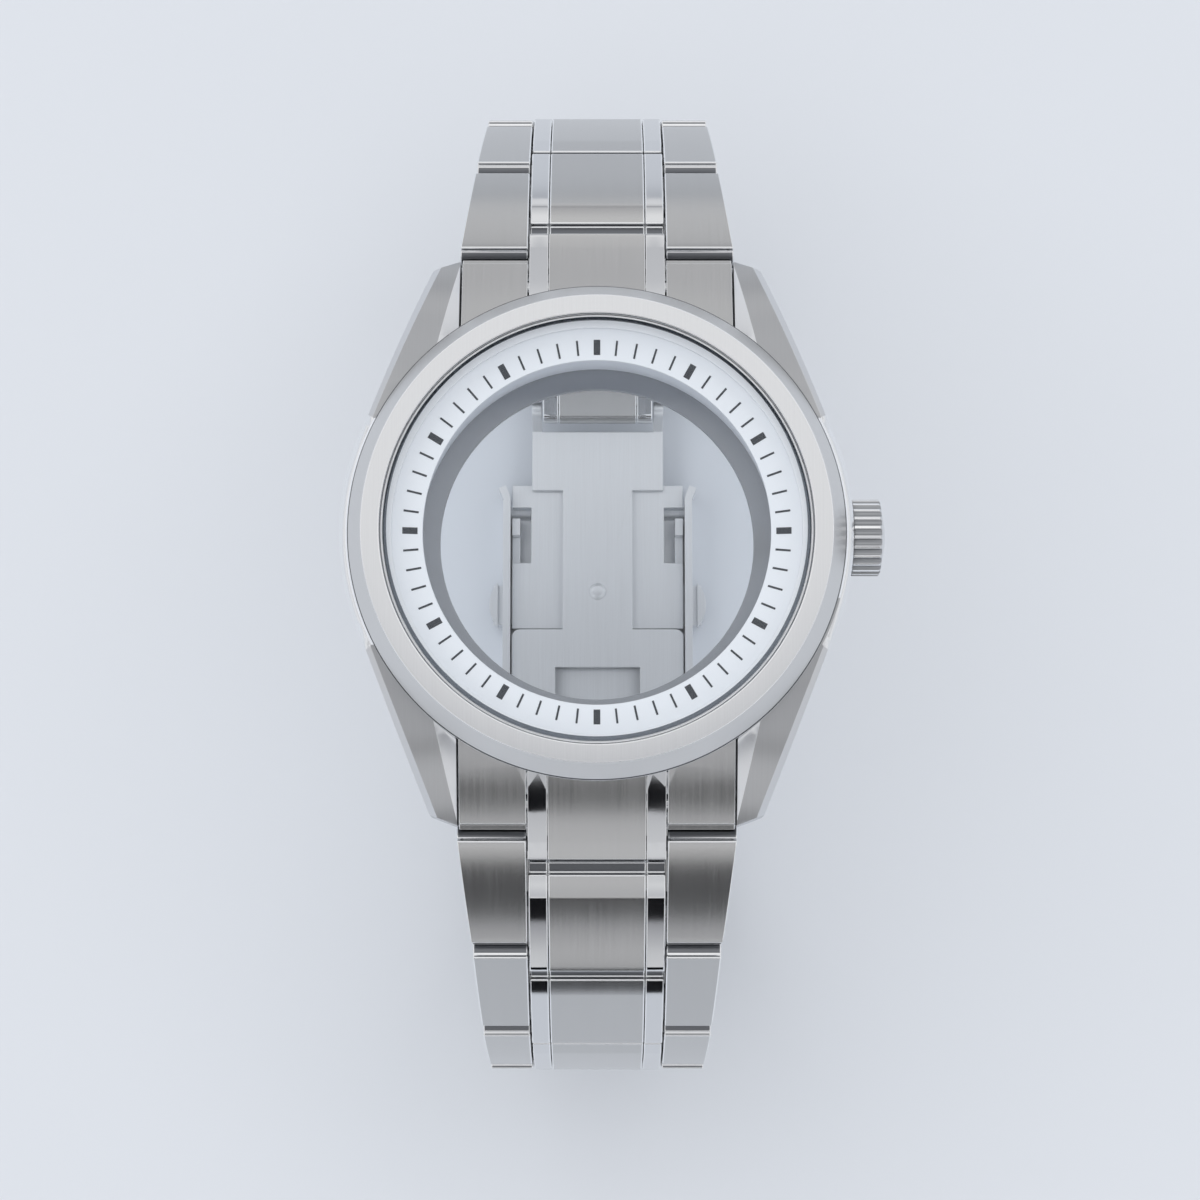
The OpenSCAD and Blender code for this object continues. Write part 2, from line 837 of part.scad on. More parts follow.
module clasp_wall_piece() {
    difference() {
        union() {
            along_x(wall_in, wall_in + clasp_wall)
                clasp_wall_side();
            translate([wall_in, wall_end_y, 0])
                rotate([0, 0, -flare_tilt])
                    along_x(0, clasp_wall)
                        polygon([[0, floor_top], [flare_len, floor_top],
                            [flare_len, wall_rise], [0, wall_rise]]);
        }
        for (i = [0:adjust_count - 1])
            translate([0, -clasp_y + i * adjust_step, 0])
                cross_bar(bar_hole_r, 2 * clasp_w);
        translate([wall_in - over, button_y - shank_half - shank_gap,
            button_z - shank_half_h - shank_gap])
            cube([2 * over + clasp_wall, 2 * (shank_half + shank_gap),
                2 * (shank_half_h + shank_gap)]);
    }
}

module clasp_cover() {
    knuckle_in = fold_knuckle + plate_gap;
    color("silver")
        at_clasp() {
            difference() {
                union() {
                    both_sides()
                        clasp_wall_piece();
                    plate(floor_low, floor_top)
                        polygon([[-wall_in - clasp_wall / 2, -clasp_y + floor_start],
                            [wall_in + clasp_wall / 2, -clasp_y + floor_start],
                            [wall_in + clasp_wall / 2, cover_hinge_y],
                            [-wall_in - clasp_wall / 2, cover_hinge_y]]);
                    both_sides()
                        translate([knuckle_in, cover_hinge_y, cover_hinge_z])
                            rotate([0, 90, 0])
                                cylinder(r = cover_hinge_r, h = wall_in - knuckle_in);
                }
                translate([-knuckle_in, cover_hinge_y - cover_hinge_r - plate_gap,
                    floor_low - over])
                    cube([2 * knuckle_in, 2 * over, floor_t + 2 * over]);
                translate([0, cover_hinge_y, cover_hinge_z])
                    cross_bar(hinge_pin_r + seat_gap, 2 * wall_in - clasp_wall);
            }
        }
}

module cover_hinge_pin() {
    color("silver")
        at_clasp()
            translate([0, cover_hinge_y, cover_hinge_z])
                cross_bar(hinge_pin_r, 2 * wall_in - 2 * clasp_wall);
}

module middle_blade() {
    near = cover_hinge_y - cover_hinge_r - plate_gap;
    far = blade_hinge_y + blade_hinge_r + plate_gap;
    color("gainsboro")
        at_clasp()
            difference() {
                union() {
                    plate(middle_low, middle_top)
                        polygon([[-middle_half, far], [-fold_knuckle, far],
                            [-fold_knuckle, blade_hinge_y], [fold_knuckle, blade_hinge_y],
                            [fold_knuckle, far], [middle_half, far], [middle_half, near],
                            [fold_knuckle, near], [fold_knuckle, cover_hinge_y],
                            [-fold_knuckle, cover_hinge_y], [-fold_knuckle, near],
                            [-middle_half, near]]);
                    translate([0, cover_hinge_y, cover_hinge_z])
                        cross_bar(cover_hinge_r, 2 * fold_knuckle);
                    translate([0, blade_hinge_y, blade_hinge_z])
                        cross_bar(blade_hinge_r, 2 * fold_knuckle);
                }
                translate([0, cover_hinge_y, cover_hinge_z])
                    cross_bar(hinge_pin_r + run_gap, clasp_w);
                translate([0, blade_hinge_y, blade_hinge_z])
                    cross_bar(hinge_pin_r + seat_gap, clasp_w);
            }
}

module blade_hinge_pin() {
    color("silver")
        at_clasp()
            translate([0, blade_hinge_y, blade_hinge_z])
                cross_bar(hinge_pin_r, 2 * blade_half - 2 * plate_gap);
}

// Plan of the tongue blade: two arms, a cross bar, a tongue and a short yoke
module tongue_plan() {
    for (s = [-1, 1])
        translate([s < 0 ? -blade_half : arm_in, blade_hinge_y])
            square([blade_half - arm_in, bar_low_y - blade_hinge_y + over / 2]);
    difference() {
        translate([-blade_half, bar_low_y])
            square([2 * blade_half, bar_high_y - bar_low_y]);
        for (s = [-1, 1])
            translate([s * (blade_half - bar_round), bar_high_y - bar_round])
                difference() {
                    translate([s < 0 ? -over : 0, 0])
                        square([over, over]);
                    circle(r = bar_round);
                }
    }
    translate([-tongue_w / 2, bar_low_y])
        square([tongue_w, cross_end - bar_low_y]);
    translate([-outer_in - ear_t, cross_start])
        square([2 * (outer_in + ear_t), cross_end - cross_start]);
}

module tongue_blade() {
    tongue_low = tongue_top - blade_t;
    color("gainsboro")
        at_clasp()
            difference() {
                union() {
                    plate(tongue_low, tongue_top)
                        tongue_plan();
                    both_sides()
                        along_x(outer_in, outer_in + ear_t) {
                            translate([yoke_y, yoke_z])
                                circle(r = ear_r);
                            polygon([[ear_root, tongue_low], [cross_end, tongue_low],
                                [yoke_y + ear_r / 2, yoke_z - ear_r * cos(ear_tilt)],
                                [yoke_y - ear_r / 2, yoke_z + ear_r * cos(ear_tilt)],
                                [cross_end, tongue_top], [ear_root, tongue_top]]);
                        }
                    both_sides()
                        translate([fold_knuckle + plate_gap, blade_hinge_y, blade_hinge_z])
                            rotate([0, 90, 0])
                                cylinder(r = blade_hinge_r,
                                    h = blade_half - fold_knuckle - plate_gap);
                }
                translate([0, yoke_y, yoke_z])
                    cross_bar(bar_hole_r, clasp_w);
                translate([0, blade_hinge_y, blade_hinge_z])
                    cross_bar(hinge_pin_r + run_gap, clasp_w);
                translate([0, rivet_y, tongue_low - over])
                    cylinder(r = rivet_r + seat_gap, h = blade_t + 2 * over);
            }
}

module catch_plate() {
    color("gainsboro")
        at_clasp()
            difference() {
                plate(catch_low, catch_top)
                    difference() {
                        translate([-blade_half, bar_high_y + catch_gap])
                            square([2 * blade_half, catch_end_y - bar_high_y - catch_gap]);
                        for (s = [-1, 1])
                            translate([s < 0 ? -window_in - over : window_in, window_low_y])
                                square([over, window_high_y - window_low_y]);
                    }
                translate([0, rivet_y, catch_low - over])
                    cylinder(r = rivet_r + seat_gap, h = blade_t + 2 * over);
            }
}

module blade_rivet() {
    color("silver")
        at_clasp()
            translate([0, rivet_y, 0]) {
                translate([0, 0, catch_low])
                    cylinder(r = rivet_r, h = tongue_top + seat_gap - catch_low + rivet_head_h / 2);
                translate([0, 0, tongue_top + seat_gap])
                    cylinder(r1 = rivet_head_r, r2 = rivet_r, h = rivet_head_h);
            }
}

module clasp_spring_bar_6() {
    color("silver")
        at_clasp()
            translate([0, -clasp_y, 0])
                spring_bar(2 * (wall_in - bar_shoulder), bar_shoulder + clasp_wall - run_gap);
}

// Drawn with its tips drawn in, because the closed loop is opened at this bar
module clasp_spring_bar_12() {
    color("silver")
        at_clasp()
            translate([0, yoke_y, yoke_z])
                spring_bar(2 * (inner_half - bar_shoulder), bar_shoulder);
}

module push_button() {
    cap_x = wall_in + clasp_wall + button_travel + run_gap;
    cap_r = (pow(button_len / 2, 2) + pow(button_proud, 2)) / (2 * button_proud);
    cap_end = wall_in + clasp_wall + button_proud;
    at_clasp() {
        intersection() {
            translate([cap_end - cap_r, button_y, button_z - button_half_h])
                cylinder(r = cap_r, h = 2 * button_half_h);
            translate([cap_x, button_y - button_len, button_z - 2 * button_half_h])
                cube([cap_r, 2 * button_len, 4 * button_half_h]);
        }
        translate([arm_out - arm_t / 2, button_y - shank_half, button_z - shank_half_h])
            cube([cap_x + (cap_end - cap_x) / 2 - arm_out + arm_t / 2, 2 * shank_half,
                2 * shank_half_h]);
        translate([arm_out - arm_t, arm_low_y, arm_low])
            cube([arm_t, arm_high_y - arm_low_y, arm_top - arm_low]);
        translate([arm_out - arm_t, arm_high_y - nose_len, arm_low])
            cube([arm_t, nose_len, nose_top - arm_low]);
    }
}

module push_button_right() {
    color("silver")
        push_button();
}

module push_button_left() {
    color("silver")
        mirror([1, 0, 0])
            push_button();
}

case_middle();
bezel();
crystal_gasket();
chapter_ring();
minute_marks();
caseback_ring();
caseback_glass_gasket();
caseback_gasket();
crown_tube();
crown_gasket();
crown();
lug_spring_bars();
end_link(12);  // end_link_12
end_link(6);  // end_link_6
for (i = LINKS) {
    outer_links(12, i);
    centre_link(12, i);
    outer_links(6, i);
    centre_link(6, i);
}
clasp_cover();
clasp_spring_bar_12();
clasp_spring_bar_6();
cover_hinge_pin();
blade_hinge_pin();
middle_blade();
tongue_blade();
catch_plate();
blade_rivet();
push_button_left();
push_button_right();
crystal();
caseback_glass();
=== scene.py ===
import math

import bmesh
import bpy
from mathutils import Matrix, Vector


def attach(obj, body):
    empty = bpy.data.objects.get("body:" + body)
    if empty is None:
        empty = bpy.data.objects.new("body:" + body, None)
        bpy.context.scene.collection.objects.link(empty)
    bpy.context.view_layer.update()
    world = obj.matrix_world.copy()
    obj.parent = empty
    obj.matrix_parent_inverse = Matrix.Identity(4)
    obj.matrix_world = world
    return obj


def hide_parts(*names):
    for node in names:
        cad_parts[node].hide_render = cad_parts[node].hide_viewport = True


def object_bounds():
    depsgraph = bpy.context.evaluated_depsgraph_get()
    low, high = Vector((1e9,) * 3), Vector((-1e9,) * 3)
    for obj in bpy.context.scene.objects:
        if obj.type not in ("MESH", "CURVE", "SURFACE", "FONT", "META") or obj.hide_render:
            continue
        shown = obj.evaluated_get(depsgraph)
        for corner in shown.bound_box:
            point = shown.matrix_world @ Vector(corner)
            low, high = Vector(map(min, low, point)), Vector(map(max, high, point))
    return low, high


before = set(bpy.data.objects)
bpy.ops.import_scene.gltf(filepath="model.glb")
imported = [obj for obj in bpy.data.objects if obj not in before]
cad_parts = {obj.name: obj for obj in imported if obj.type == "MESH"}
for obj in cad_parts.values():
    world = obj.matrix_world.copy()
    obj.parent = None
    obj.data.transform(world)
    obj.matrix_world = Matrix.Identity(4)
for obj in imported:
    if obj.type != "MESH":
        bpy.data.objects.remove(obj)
cad_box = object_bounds()
bpy.context.scene.view_settings.view_transform = "Standard"


# The floor is a sheet of matt pale blue-grey paper, which the clasp rests on.
# Nothing else of the stage shows in the picture, and the soft shadow falls on it.
def linear(text):
    """An sRGB hex colour as linear red, green, blue and alpha."""
    parts = [int(text[i : i + 2], 16) / 255 for i in (1, 3, 5)]
    flat = [c / 12.92 if c <= 0.04045 else ((c + 0.055) / 1.055) ** 2.4 for c in parts]
    return (*flat, 1.0)


def add(tree, kind, settings=(), links=()):
    """Adds a node, with its settings by name and its inputs as values or as other sockets."""
    made = tree.nodes.new(kind)
    for name, value in dict(settings).items():
        setattr(made, name, value)
    for name, value in dict(links).items():
        if isinstance(value, bpy.types.NodeSocket):
            tree.links.new(value, made.inputs[name])
        else:
            made.inputs[name].default_value = value
    return made


def plain_material(name, colour, rough, **inputs):
    """A material of one even colour, with other shader inputs by name where it needs them."""
    made = bpy.data.materials.new(name)
    made.use_nodes = True
    face = made.node_tree.nodes["Principled BSDF"]
    face.inputs["Base Color"].default_value = linear(colour)
    face.inputs["Roughness"].default_value = rough
    for title, value in inputs.items():
        face.inputs[title.replace("_", " ")].default_value = value
    return made


FLOOR_Z = cad_box[0][2]
FLOOR_HALF = 6.0
floor_mesh = bpy.data.meshes.new("paper_floor")
floor_mesh.from_pydata(
    [(x * FLOOR_HALF, y * FLOOR_HALF, FLOOR_Z) for x, y in ((-1, -1), (1, -1), (1, 1), (-1, 1))],
    [],
    [(0, 1, 2, 3)],
)
paper_floor = bpy.data.objects.new("paper_floor", floor_mesh)
bpy.context.collection.objects.link(paper_floor)

# Uncoated paper: no gloss, and a grain too fine to see from here.
paper = plain_material("uncoated_paper", "#DADEE4", 0.9, Specular_IOR_Level=0.1)
floor_mesh.materials.append(paper)


# A plain soft studio: a white tent with a bright band of cloth a third of the way up, and
# greyer cloth under it and overhead. Each colour is what a mirror shows at that height, from
# the floor's edge at 0 to straight up at 1.
world = bpy.data.worlds.new("white_tent")
bpy.context.scene.world = world
world.use_nodes = True
sky = world.node_tree
sky.nodes.clear()
sky_way = add(sky, "ShaderNodeTexCoord")
sky_parts = add(sky, "ShaderNodeSeparateXYZ", links={"Vector": sky_way.outputs["Generated"]})
tent = add(sky, "ShaderNodeValToRGB", links={"Fac": sky_parts.outputs["Z"]})
TENT = (
    (0.00, "#F4F5F7"),
    (0.10, "#E6E7E9"),
    (0.15, "#DDDEE0"),
    (0.19, "#C6C7CA"),
    (0.24, "#ABACB0"),
    (0.28, "#D3D4D7"),
    (0.36, "#FFFFFF"),
    (0.42, "#FFFFFF"),
    (0.49, "#D6D7DA"),
    (0.57, "#DADBDE"),
    (0.62, "#F0F1F2"),
    (0.65, "#E4E5E7"),
    (0.71, "#EBECEE"),
    (0.77, "#D2D3D6"),
    (0.84, "#CDCED1"),
    (0.95, "#CFD0D3"),
    (1.00, "#CDCED1"),
)
ramp = tent.color_ramp
ramp.elements[0].position = TENT[0][0]
ramp.elements[0].color = linear(TENT[0][1])
ramp.elements[1].position = TENT[-1][0]
ramp.elements[1].color = linear(TENT[-1][1])
for place, colour in TENT[1:-1]:
    stop = ramp.elements.new(place)
    stop.color = linear(colour)
# The roof of the tent is lit from beyond 12 o'clock, and falls off smoothly to the front.
SMOOTH = {"interpolation_type": "SMOOTHSTEP"}
beyond = add(
    sky,
    "ShaderNodeMapRange",
    SMOOTH,
    {"Value": sky_parts.outputs["Y"], "From Min": 0.06, "From Max": 0.15},
)
overhead = add(
    sky,
    "ShaderNodeMapRange",
    SMOOTH,
    {"Value": sky_parts.outputs["Z"], "From Min": 0.7, "From Max": 0.92},
)
lit_roof = add(
    sky,
    "ShaderNodeMath",
    {"operation": "MULTIPLY"},
    {0: beyond.outputs["Result"], 1: overhead.outputs["Result"]},
)
lined = add(
    sky,
    "ShaderNodeMix",
    {"data_type": "RGBA"},
    {"Factor": lit_roof.outputs[0], 6: tent.outputs["Color"], 7: linear("#FFFFFF")},
)
tent_light = add(sky, "ShaderNodeBackground", links={"Color": lined.outputs[2], "Strength": 1.0})
add(sky, "ShaderNodeOutputWorld", links={"Surface": tent_light.outputs["Background"]})

# One broad lamp above and to the left, behind the tent's cloth, so that the steel doesn't
# mirror its shape. It throws the faint shadow to the lower right.
LAMP_AT = Vector((-0.15, 0.12, 1.2))
LAMP_SIDE = 1.6
LAMP_WATTS = 7.6
softbox_data = bpy.data.lights.new("lamp_behind_cloth", "AREA")
softbox_data.shape = "RECTANGLE"
softbox_data.size = LAMP_SIDE
softbox_data.size_y = LAMP_SIDE
softbox_data.energy = LAMP_WATTS
softbox = bpy.data.objects.new("lamp_behind_cloth", softbox_data)
softbox.location = LAMP_AT
softbox.rotation_euler = (-LAMP_AT).to_track_quat("-Z", "Y").to_euler()
softbox.visible_glossy = False
bpy.context.collection.objects.link(softbox)

# Three black flags stand before the watch, as in any studio that shoots polished steel.
# Only the steel sees them, as the hard black bars in its strips. Velvet gives back no gleam.
# Each stands half a metre from one link, between two angles up from the level there.
MM = 0.001
FLAG_AWAY = 500
FLAG_HALF = FLAG_AWAY * math.tan(math.radians(24))
flag_cloth = plain_material("black_flag_velvet", "#1A1A1C", 1.0, Specular_IOR_Level=0.0)
for name, along, height, low, high in (
    ("flag_for_end_link", -20.5, -3.3, 50.7, 55.8),
    ("flag_for_first_link", -29.3, -8.2, 14.0, 24.5),
    ("flag_for_second_link", -35.4, -14.6, -5.0, 4.2),
):
    corners = []
    for up in (math.radians(low), math.radians(high)):
        reach, rise = math.cos(up) * FLAG_AWAY, math.sin(up) * FLAG_AWAY
        for x in (-FLAG_HALF, FLAG_HALF):
            corners.append((x * MM, (along - reach) * MM, (height + rise) * MM))
    card = bpy.data.meshes.new(name)
    card.from_pydata(corners, [], [(0, 1, 3, 2)])
    card.materials.append(flag_cloth)
    flag = bpy.data.objects.new(name, card)
    bpy.context.collection.objects.link(flag)
    flag.visible_camera = False
    flag.visible_diffuse = False
    flag.visible_shadow = False
    flag.visible_transmission = False


# The camera hangs over the watch, a little towards the wearer, as the photograph's did.
# Both its place and its tilt were fitted to the edges of the case and of the links.
CAMERA_AT = (0.24 * MM, -36.2 * MM, 230 * MM)
CAMERA_TILT = math.radians(7.627)
camera_data = bpy.data.cameras.new("camera")
camera_data.lens = 88.9
camera_data.sensor_width = 36
camera_data.clip_start = 10 * MM
camera = bpy.data.objects.new("camera", camera_data)
camera.location = CAMERA_AT
camera.rotation_euler = (CAMERA_TILT, 0, 0)
bpy.context.collection.objects.link(camera)
bpy.context.scene.camera = camera


# The case middle is one piece of stainless steel with its four lugs, milled and then brushed.
# The rim under the bezel and the lugs' bevels have a finer finish, and each edge is broken. The
# rim, the inner facets and the edges are painted paler, as painted highlights.
# Points closer than this are one point, and faces turned less than this are one face.
WELD = 0.0005 * MM
ONE_FLAT = math.radians(0.2)


def merged_copy(node):
    """A copy of a CAD node as one welded mesh with flat faces joined."""
    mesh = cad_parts[node].data.copy()
    mesh.materials.clear()
    shape = bmesh.new()
    shape.from_mesh(mesh)
    bmesh.ops.remove_doubles(shape, verts=shape.verts, dist=WELD)
    bmesh.ops.dissolve_limit(shape, angle_limit=ONE_FLAT, verts=shape.verts, edges=shape.edges)
    shape.to_mesh(mesh)
    shape.free()
    piece = bpy.data.objects.new(node + "_piece", mesh)
    bpy.context.collection.objects.link(piece)
    return piece


def broken_edges(piece, width, segments=2, angle=28, finish=None):
    """Rounds the sharp edges of a piece, as deburring does, and keeps its faces flat.

    The width is in millimetres and the angle in degrees; a finish goes on the new faces only.
    """
    piece.data.shade_smooth()
    bevel = piece.modifiers.new("broken_edges", "BEVEL")
    bevel.width = width * MM
    bevel.segments = segments
    bevel.limit_method = "ANGLE"
    bevel.angle_limit = math.radians(angle)
    bevel.miter_outer = "MITER_ARC"
    if finish is not None:
        piece.data.materials.append(finish)
        bevel.material = len(piece.data.materials) - 1
    flat = piece.modifiers.new("flat_faces", "WEIGHTED_NORMAL")
    flat.keep_sharp = False


def brushed_steel(name, colour, across, rough, depth):
    """Stainless steel with a satin grain of fine scratches that lie square to the axis across.

    The depth of the scratches is in millimetres. They draw each highlight out into a long
    streak across themselves, and blur what the steel mirrors.
    """
    made = bpy.data.materials.new(name)
    made.use_nodes = True
    tree = made.node_tree
    tree.nodes.clear()
    place = add(tree, "ShaderNodeTexCoord")
    # Scratches about 0.1 mm apart and 7 mm long, coarser than real so that they show, over
    # the broader streaks that the belt leaves, 0.5 mm apart and 25 mm long.
    fine_scale = [1 / (0.1 * MM) if axis == across else 1 / (7 * MM) for axis in "XYZ"]
    broad_scale = [1 / (0.5 * MM) if axis == across else 1 / (25 * MM) for axis in "XYZ"]
    fine_map = add(
        tree,
        "ShaderNodeMapping",
        links={"Vector": place.outputs["Object"], "Scale": fine_scale},
    )
    broad_map = add(
        tree,
        "ShaderNodeMapping",
        links={"Vector": place.outputs["Object"], "Scale": broad_scale},
    )
    fine = add(
        tree,
        "ShaderNodeTexNoise",
        links={
            "Vector": fine_map.outputs["Vector"],
            "Scale": 1.0,
            "Detail": 3.0,
            "Roughness": 0.6,
        },
    )
    broad = add(
        tree,
        "ShaderNodeTexNoise",
        links={"Vector": broad_map.outputs["Vector"], "Scale": 1.0, "Detail": 2.0},
    )
    grain = add(
        tree,
        "ShaderNodeMix",
        {"data_type": "FLOAT"},
        {"Factor": 0.25, 2: fine.outputs["Fac"], 3: broad.outputs["Fac"]},
    )
    gloss = add(
        tree,
        "ShaderNodeMapRange",
        links={
            "Value": grain.outputs[0],
            "From Min": 0.3,
            "From Max": 0.7,
            "To Min": rough - 0.02,
            "To Max": rough + 0.02,
        },
    )
    # The floor of a scratch is a little darker than the steel beside it.
    base = linear(colour)
    dim = tuple(c * 0.86 for c in base[:3]) + (1.0,)
    tone = add(
        tree,
        "ShaderNodeMix",
        {"data_type": "RGBA"},
        {"Factor": grain.outputs[0], 6: dim, 7: base},
    )
    relief = add(
        tree,
        "ShaderNodeBump",
        links={"Strength": 0.05, "Distance": depth * MM, "Height": grain.outputs[0]},
    )
    # Scratches spread the light across themselves and keep it sharp along.
    cross_way = add(
        tree,
        "ShaderNodeVectorTransform",
        {"vector_type": "VECTOR", "convert_from": "OBJECT", "convert_to": "WORLD"},
        {"Vector": [float(axis == across) for axis in "XYZ"]},
    )
    face = add(
        tree,
        "ShaderNodeBsdfPrincipled",
        links={
            "Base Color": tone.outputs[2],
            "Metallic": 1.0,
            "Roughness": gloss.outputs["Result"],
            "Anisotropic": 1.0,
            "Tangent": cross_way.outputs["Vector"],
            "Normal": relief.outputs["Normal"],
        },
    )
    add(tree, "ShaderNodeOutputMaterial", links={"Surface": face.outputs["BSDF"]})
    return made


def polished_steel(name, colour, rough):
    """Buffed stainless steel: a mirror with a faint haze and a few hair scratches."""
    made = bpy.data.materials.new(name)
    made.use_nodes = True
    tree = made.node_tree
    tree.nodes.clear()
    place = add(tree, "ShaderNodeTexCoord")
    # Haze in patches of about 5 mm, and swirls of about 0.8 mm left by the buff.
    haze_map = add(
        tree,
        "ShaderNodeMapping",
        links={"Vector": place.outputs["Object"], "Scale": [1 / (5 * MM)] * 3},
    )
    swirl_map = add(
        tree,
        "ShaderNodeMapping",
        links={"Vector": place.outputs["Object"], "Scale": [1 / (0.8 * MM)] * 3},
    )
    haze = add(
        tree,
        "ShaderNodeTexNoise",
        links={"Vector": haze_map.outputs["Vector"], "Scale": 1.0, "Detail": 2.0},
    )
    swirl = add(
        tree,
        "ShaderNodeTexNoise",
        links={
            "Vector": swirl_map.outputs["Vector"],
            "Scale": 1.0,
            "Detail": 4.0,
            "Distortion": 1.5,
        },
    )
    gloss = add(
        tree,
        "ShaderNodeMapRange",
        links={
            "Value": haze.outputs["Fac"],
            "From Min": 0.3,
            "From Max": 0.7,
            "To Min": rough,
            "To Max": rough + 0.05,
        },
    )
    relief = add(
        tree,
        "ShaderNodeBump",
        links={"Strength": 0.04, "Distance": 0.01 * MM, "Height": swirl.outputs["Fac"]},
    )
    face = add(
        tree,
        "ShaderNodeBsdfPrincipled",
        links={
            "Base Color": linear(colour),
            "Metallic": 1.0,
            "Roughness": gloss.outputs["Result"],
            "Normal": relief.outputs["Normal"],
        },
    )
    add(tree, "ShaderNodeOutputMaterial", links={"Surface": face.outputs["BSDF"]})
    return made


# The tops of the lugs are brushed from 12 to 6 o'clock and look grey and soft.
case_grain = brushed_steel("steel_brushed_lengthwise", "#D2D3D5", "X", 0.42, 0.01)
# The flanks are brushed round the case with a finer belt, so they shine a little more.
flank_grain = brushed_steel("steel_brushed_round_the_case", "#CDCFD2", "Z", 0.26, 0.01)
# The bevel along the outside of a lug is rubbed smooth and shows as a paler band.
bevel_satin = polished_steel("steel_lug_bevel_satin", "#D9DADC", 0.3)
# The facet on the inside of a lug is lapped flat, and its pale colour is a painted highlight that
# makes it the brightest part of it.
facet_satin = polished_steel("steel_facet_fine_satin", "#F2F3F5", 0.34)
# A broken edge is polished smooth and catches the light as a thin bright line. Its colour, paler
# than the rest of the steel, is a painted highlight.
bright = polished_steel("steel_edge_painted_highlight", "#F4F5F6", 0.16)
# The bore is blasted with glass beads: dull, with hardly any mirror left. Its pale colour is
# painted light, which lifts the wall out of the shade inside the case.
bore_satin = plain_material("steel_bore_bead_blasted", "#E9ECF1", 0.6, Metallic=0.2)

case_middle = merged_copy("case_middle")
case_finishes = (case_grain, bevel_satin, flank_grain, bright, bore_satin, facet_satin)
for material in case_finishes:
    case_middle.data.materials.append(material)
# The rim shows between the lugs only, outside the bezel. A face is told by which way it turns.
RIM_R = 19.5 * MM
RIM_HALF = 9 * MM
BORE_R = 16.6 * MM
TURNS_UP = 0.2
LEANS_OVER = 0.22
STANDS_UPRIGHT = 0.5
for face in case_middle.data.polygons:
    spot = face.center
    up = face.normal
    from_centre = math.hypot(spot.x, spot.y)
    faces_up = up.z > TURNS_UP
    if faces_up and abs(up.x) > LEANS_OVER and abs(spot.y) > RIM_HALF:
        finish = bevel_satin if up.x * spot.x > 0 else facet_satin
    # The rim takes the edges' pale steel, a painted highlight.
    elif faces_up and from_centre > RIM_R and abs(spot.y) < RIM_HALF:
        finish = bright
    elif from_centre < BORE_R:
        finish = bore_satin
    elif abs(up.z) < STANDS_UPRIGHT:
        finish = flank_grain
    else:
        finish = case_grain
    face.material_index = case_finishes.index(finish)
broken_edges(case_middle, 0.07, finish=bright)
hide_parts("case_middle")
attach(case_middle, "case")


# The bezel is a turned steel ring pressed over the case. Its flat top is brushed straight
# across from 12 to 6 o'clock and its sloping side is polished, with a crisp edge between.
def lathed(name, profile, steps=240):
    """A closed ring turned about the case axis from (radius, height) points in millimetres."""
    rows = len(profile)
    points = []
    for i in range(steps):
        turn = 2 * math.pi * i / steps
        points += [(r * MM * math.cos(turn), r * MM * math.sin(turn), z * MM) for r, z in profile]
    faces = []
    for i in range(steps):
        here, there = i * rows, (i + 1) % steps * rows
        for j in range(rows):
            k = (j + 1) % rows
            faces.append((here + j, there + j, there + k, here + k))
    mesh = bpy.data.meshes.new(name)
    mesh.from_pydata(points, [], faces)
    shape = bmesh.new()
    shape.from_mesh(mesh)
    bmesh.ops.remove_doubles(shape, verts=shape.verts, dist=WELD)
    bmesh.ops.recalc_face_normals(shape, faces=shape.faces)
    shape.to_mesh(mesh)
    shape.free()
    piece = bpy.data.objects.new(name, mesh)
    bpy.context.collection.objects.link(piece)
    return piece


bezel = lathed(
    "bezel_ring",
    [
        (16.5, 0.02), (17.1, 0.02), (17.1, 0.57), (19.6, 0.57), (19.6, 0.67),
        (19.5, 0.853), (18.38, 2.9), (16.98, 2.9), (16.88, 2.8), (16.88, 1.0), (16.5, 1.0),
    ],
)
# The flat top is brushed, and it is painted paler than the other brushed steel as a painted
# highlight, which makes it the palest steel of the watch.
bezel_grain = brushed_steel("bezel_top_brushed", "#EEEFF1", "X", 0.3, 0.008)
# The slope is polished and then worn to a haze, so it takes one even grey all round.
bezel_slope = polished_steel("bezel_slope_polished", "#D8D8D8", 0.3)
# Hardly any light reaches the foot of the bezel, which draws a dark line round the case.
seam = polished_steel("steel_seam_in_shadow", "#4E5155", 0.4)
bezel_finishes = (bezel_grain, bezel_slope, seam)
for material in bezel_finishes:
    bezel.data.materials.append(material)
SEAM_TOP = 0.8 * MM
LEVEL = 0.98
for face in bezel.data.polygons:
    if face.center.z < SEAM_TOP:
        face.material_index = bezel_finishes.index(seam)
    elif face.normal.z < LEVEL:
        face.material_index = bezel_finishes.index(bezel_slope)
broken_edges(bezel, 0.06, 2, 20, bright)
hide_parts("bezel")
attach(bezel, "case")


